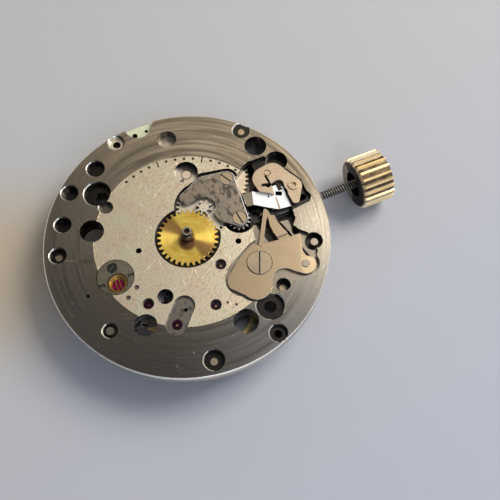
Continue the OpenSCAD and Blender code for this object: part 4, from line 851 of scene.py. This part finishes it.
def worn_layers(tree, spot, colour):
    """Dark grooves, nickel and gold by the distance from the stem's axis, made a little uneven.
    """
    reach = vectors(tree, "LENGTH", vectors(tree, "MULTIPLY", spot, (1, 1, 0)))
    cloud = effect(tree, patches, {"Position": spot, "Per mm": 1.6, "Sharpness": 3.0})
    layer = stretched(tree, maths(tree, "MULTIPLY_ADD", cloud, UNEVEN, reach), LAYERS_FROM,
                      LAYERS_TO)
    return mixed(tree, GOLD_SHARE, colour_ramp(tree, layer, CROWN_LAYERS), colour, "MULTIPLY")


crown_metal = metal("worn_gilt", (0.98, 0.78, 0.42), (0.80, 0.58, 0.26), 0.38,
                    spacing=5, turn=radians(90), length=0.5, relief=0.003, cloud=1.1, axis="X",
                    bare=0.8, paint=worn_layers)
crown_edge = metal("crown_edge", (0.90, 0.68, 0.36), (0.66, 0.47, 0.22), 0.46,
                   spacing=5, relief=0.002, bare=0.85)
crown_face = metal("crown_collar", (0.46, 0.42, 0.36), (0.24, 0.21, 0.17), 0.42, "turned",
                   spacing=5, axis="X", relief=0.003)
# The hollow round the stem is painted in shade.
crown_hollow = metal("crown_hollow", (0.06, 0.055, 0.05), (0.02, 0.018, 0.016), 0.5, "turned",
                     axis="X")
print("made", crown_metal.name, crown_edge.name, crown_face.name, crown_hollow.name)

# %% Crown
HOLLOW_R = 1.3
RIDGES, RIM, COLLAR, HOLLOW = range(4)


def crown_surface(at, facing):
    """Ridged side, collar on the inner face, or the hollow round the stem."""
    reach = Vector((at.y, at.z - STEM_Z)).length
    if reach < HOLLOW_R:
        return HOLLOW
    return COLLAR if facing.x < -0.9 else RIDGES


crown = dressed("crown", [crown_metal, crown_edge, crown_face, crown_hollow], edge=0.03,
                sharp=25, pick=crown_surface)
print(crown.name, "faces:", len(crown.data.polygons))

# %% [markdown]
# The setting cover is stamped from thin spring steel and its outer wing is bent down a little,
# which the photograph shows as a lighter facet behind a straight fold. A bent modifier would
# move the whole piece, so the sheet is cut along the fold and only the wing is tipped.

# %% Setting cover with its fold
FOLD_AT = Vector((9.05, -4.3))
FOLD_OUT = Vector((0.93, -0.36)).normalized()
FOLD_DROP = 0.035


def bend_wing(mesh):
    """Cuts the sheet along the fold and tips what lies beyond it."""
    out = Vector((FOLD_OUT.x, FOLD_OUT.y, 0))
    root = Vector((FOLD_AT.x, FOLD_AT.y, 0)) * MM
    bmesh.ops.bisect_plane(mesh, geom=mesh.verts[:] + mesh.edges[:] + mesh.faces[:],
                           plane_co=root, plane_no=out)
    for v in mesh.verts:
        beyond = (v.co - root).dot(out)
        if beyond > 0:
            v.co.z -= FOLD_DROP * beyond


cover = dressed("setting_cover", [tan_metal, edge_metal], edge=0.025, change=bend_wing)
print(cover.name, "faces:", len(cover.data.polygons))

# %% [markdown]
# Everything else is dressed in the same way, so a table says which finish each node gets and
# how wide its broken edges are. Wheels are turned about their own centres, which the frame's
# boxes give.

# %% Finishes that need a centre of their own
def centre_of(node):
    """Middle of a node's box, in mm, as seen from above."""
    low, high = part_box(node)
    middle = (low + high) / 2 / MM
    return (middle.x, middle.y)


ratchet_metal = metal("ratchet_steel", (0.72, 0.70, 0.66), (0.46, 0.44, 0.41), 0.28, "turned",
                      spacing=7, centre=centre_of("ratchet_wheel"), brushed=0.6)
winding_metal = metal("winding_steel", (0.72, 0.70, 0.66), (0.46, 0.44, 0.41), 0.28, "turned",
                      spacing=7, centre=centre_of("crown_wheel"), brushed=0.6)
barrel_metal = metal("barrel_brass", (1.0, 0.86, 0.66), (0.80, 0.62, 0.42), 0.36, "turned",
                     spacing=7, centre=centre_of("barrel_drum"), bare=0.7)
bridge_metal = metal("bridge_nickel", (0.78, 0.73, 0.64), (0.52, 0.47, 0.40), 0.32,
                     spacing=11, turn=radians(35), length=5, relief=0.004)
print("wheel centres:", centre_of("ratchet_wheel"), centre_of("crown_wheel"))

# %% Pickers for screws and wheels
UPRIGHT = 0.3
DIAL_SIDE = -1
SLOT_FROM, SLOT_FLOOR = 0.02, 0.45


def screw_faces(node):
    """A picker for screws: the head's face is bright and its slot and sides are painted in
    shade.
    """
    low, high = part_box(node)
    face_up = high.z > DIAL_SIDE * MM
    head = (high.z if face_up else low.z) / MM

    def pick(at, facing):
        in_slot = SLOT_FROM < abs(at.z - head) < SLOT_FLOOR
        return SIDE if abs(facing.z) < UPRIGHT or (abs(facing.z) > LEVEL and in_slot) else FACE

    return pick


def dark_sided(node):
    """A picker for any node: bright top faces over sides painted in shade, like the dark gaps
    between gear teeth.
    """
    return lambda at, facing: SIDE if abs(facing.z) < UPRIGHT else FACE


print("pickers ready for screws and wheels")

# %% Dress the other nodes
# Where a row gives the dark well finish, it is painted shade on the sides, slots and edges.
DRESS = [
    (0.035, (lever_metal, edge_metal), ("setting_lever",), None),
    (0.025, (tan_metal, edge_metal), ("yoke", "yoke_spring"), None),
    (0.05, (olive_metal, well_metal), ("lower_setting_plate",), None),
    (0.014, (screw_metal, edge_metal, well_metal),
     ("motion_cover_screws", "setting_cover_screw", "barrel_bridge_screws",
      "train_bridge_screws", "balance_cock_screw", "ratchet_screw", "crown_wheel_screw",
      "click_screw", "pallet_bridge_screws"), screw_faces),
    (0.014, (screw_metal, edge_metal), ("setting_lever_screw",), None),
    (0.02, (cream_metal, edge_metal, well_metal), ("minute_wheel",), dark_sided),
    (0.015, (steel_metal, edge_metal, well_metal), ("cannon_pinion", "setting_wheel"),
     dark_sided),
    (0.02, (pin_metal, pipe_metal), ("dial_side_pins",), None),
    (0.02, (post_metal, pipe_metal), ("barrel_arbor",), None),
    (0.02, (steel_metal, edge_metal),
     ("roller", "balance_staff", "pallet_fork", "pallet_bridge", "regulator", "click",
      "hairspring_collet", "hairspring_stud"), None),
    (0.012, (dark_metal, steel_metal, well_metal), ("lower_setting_screw",), screw_faces),
    (0.02, (dark_metal, edge_metal), ("winding_pinion", "clutch"), None),
    (0.035, (bridge_metal, edge_metal), ("barrel_bridge", "train_bridge", "balance_cock"),
     None),
    (0.03, (ratchet_metal, edge_metal), ("ratchet_wheel",), None),
    (0.03, (winding_metal, edge_metal), ("crown_wheel",), None),
    (0.015, (train_brass, edge_metal),
     ("centre_wheel", "third_wheel", "fourth_wheel", "escape_wheel", "balance_wheel"), None),
    (0.02, (barrel_metal, edge_metal), ("barrel_drum", "barrel_cover"), None),
    (0.02, (gold_metal, gold_metal),
     ("lower_shock_block", "upper_shock_block", "lower_shock_spring", "upper_shock_spring"),
     None),
]
for width, finishes, names, picker in DRESS:
    for node in names:
        dressed(node, finishes, edge=width, pick=picker(node) if picker else None)
print("dressed by the table:", sum(len(row[2]) for row in DRESS), "nodes")

# %% [markdown]
# Two pieces have their own rules for broken edges. The hour wheel's pipe is painted in shade
# down to its foot, and the motion cover's wide bevels get a painted highlight where they face
# the window and painted shade elsewhere.

# %% Hour wheel and motion cover
PIPE_R = 1.0
PIPE_FOOT = 1.4


def hour_faces(at, facing):
    """The hour wheel's pipe is painted in shade, the wheel itself is bright."""
    reach = Vector((at.x, at.y)).length
    return SIDE if reach < PIPE_R and abs(facing.z) < 0.9 else FACE


def hour_edges(at, facing):
    """The pipe's edges have the pipe's painted shade, and the teeth have bright ones."""
    return SIDE if Vector((at.x, at.y)).length < PIPE_R and at.z < PIPE_FOOT else EDGE


def cover_edges(at, facing):
    """The motion cover's far edges, which face the window, get a painted highlight; the near
    ones get painted shade.
    """
    return EDGE if facing.dot(to_back) > 0 else SIDE


dressed("motion_cover", [cover_metal, polish_highlight_metal, wall_metal], edge=0.09,
        pick_edge=cover_edges)
dressed("hour_wheel", [brass_metal, gold_metal, pipe_metal], edge=0.03, pick=hour_faces,
        pick_edge=hour_edges)
print("dressed the hour wheel and its cover")

# %% Jewels, mainspring and balance spring keep their CAD shapes
KEEP = [(ruby, ("plate_jewels", "bridge_jewels", "pallet_stones")),
        (cap_ruby, ("lower_cap_jewel", "upper_cap_jewel")),
        (steel_metal, ("mainspring", "click_spring")), (blue_metal, ("hairspring",))]
for finish, names in KEEP:
    for node in names:
        data = frame["nodes"][node].data
        data.materials.clear()
        data.materials.append(finish)
print("kept", sum(len(names) for _, names in KEEP), "nodes")

# %% [markdown]
# The movement lies on a plain pale table. Its paint holds painted light: it is cooler and a
# little dimmer in front than at the back, and has one warm patch of painted light at the left,
# which a plain colour would lose. So its paint mixes two tones along one direction, and a
# third one by the distance from the patch's middle.

# %% Table
FLOOR_REACH = 400
COOL_FROM, COOL_TO = -28, 22
WARM_AT = Vector((-17.0, 5.5, -5.0))
WARM_FROM, WARM_FULL = 13, 2
COOL_TONE = (0.46, 0.47, 0.52, 1)
BACK_TONE = (0.505, 0.49, 0.47, 1)
WARM_TONE = (0.50, 0.41, 0.30, 1)


def make_floor_paint():
    """Matt paint with painted light: cool in front, neutral at the back, with a patch of
    painted warm light.
    """
    paint, tree, shader, place = new_finish("pale_table")
    across = vectors(tree, "DOT_PRODUCT", place, tuple((to_back * 0.8 - to_right * 0.6) / MM))
    colour = mixed(tree, stretched(tree, across, COOL_FROM, COOL_TO), COOL_TONE, BACK_TONE)
    near = vectors(tree, "DISTANCE", place, tuple(WARM_AT * MM))
    fade = stretched(tree, near, WARM_FROM * MM, WARM_FULL * MM, kind="SMOOTHSTEP")
    tree.links.new(mixed(tree, fade, colour, WARM_TONE), shader.inputs["Base Color"])
    shader.inputs["Roughness"].default_value = 0.75
    shader.inputs["Specular IOR Level"].default_value = 0.2
    return paint


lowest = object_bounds()[0][2]
table = bmesh.new()
bmesh.ops.create_grid(table, x_segments=1, y_segments=1, size=FLOOR_REACH * MM,
                      matrix=Matrix.Translation((0, 0, lowest)))
floor = finished("table", table, [make_floor_paint()])
print("table at", round(lowest / MM, 2), "mm")

# %% [markdown]
# The light comes from a window at the right and behind. One area lamp stands for it, and a weak
# cool one in front stands for the room. Turned metal shows what it mirrors more than what
# shines on it, so the sky is dim towards the left, where the ring looks, and pale elsewhere.

# %% Lamps
WINDOW_WAY = (to_right * 0.8 + to_back * 0.52 + Vector((0, 0, 1))).normalized()
FILL_WAY = (to_right * 0.35 - to_back * 0.9 + Vector((0, 0, 0.9))).normalized()
LAMP_FAR = 0.30
LAMP_SIZE = 0.16
WINDOW_POWER = 0.76
FILL_POWER = 0.18


def add_lamp(name, way, power, colour):
    """A square area lamp that looks at the movement from the given direction."""
    light = bpy.data.lights.new(name, "AREA")
    light.size = LAMP_SIZE
    light.energy = power
    light.color = colour
    lamp = bpy.data.objects.new(name, light)
    lamp.matrix_world = (Matrix.Translation(way * LAMP_FAR)
                         @ way.to_track_quat("Z", "Y").to_matrix().to_4x4())
    scene.collection.objects.link(lamp)
    return lamp


window = add_lamp("window", WINDOW_WAY, WINDOW_POWER, (1.0, 0.98, 0.93))
fill = add_lamp("fill", FILL_WAY, FILL_POWER, (0.80, 0.90, 1.0))
print("lamps", window.name, "and", fill.name)

# %% Sky
DIM_WAY = (Vector((0, 0, 1)) - to_right * 0.80 - to_back * 0.25).normalized()
SKY_LEVELS = ((24, 0.20), (33, 0.01), (41, 0.04), (46, 0.15), (53, 0.38), (58, 0.62),
              (80, 0.66), (130, 0.45))
SKY_TONES = ((0.15, 0.80, 0.90, 1.16), (0.36, 0.92, 0.92, 0.98), (0.50, 1.10, 0.93, 0.68),
             (0.66, 1.04, 0.96, 0.86), (1.00, 0.96, 0.97, 1.0))


def make_sky():
    """Levels by the angle from the dim direction, and tones from front to back."""
    world = bpy.data.worlds.new("sky")
    world.use_nodes = True
    tree = world.node_tree
    background = tree.nodes["Background"]
    way = put(tree, "ShaderNodeTexCoord", {}).outputs["Generated"]
    away = maths(tree, "ARCCOSINE", vectors(tree, "DOT_PRODUCT", way, tuple(DIM_WAY)))
    level = colour_ramp(tree, maths(tree, "DIVIDE", away, pi),
                        [(degrees / 180, *[grey] * 3) for degrees, grey in SKY_LEVELS])
    behind = vectors(tree, "DOT_PRODUCT", way, tuple(to_back))
    hue = colour_ramp(tree, behind, SKY_TONES)
    tree.links.new(mixed(tree, 1.0, level, hue, "MULTIPLY"), background.inputs["Color"])
    background.inputs["Strength"].default_value = 1.0
    return world


scene.world = make_sky()
scene.view_settings.view_transform = "Standard"
print("sky levels:", len(SKY_LEVELS), "tones:", len(SKY_TONES))
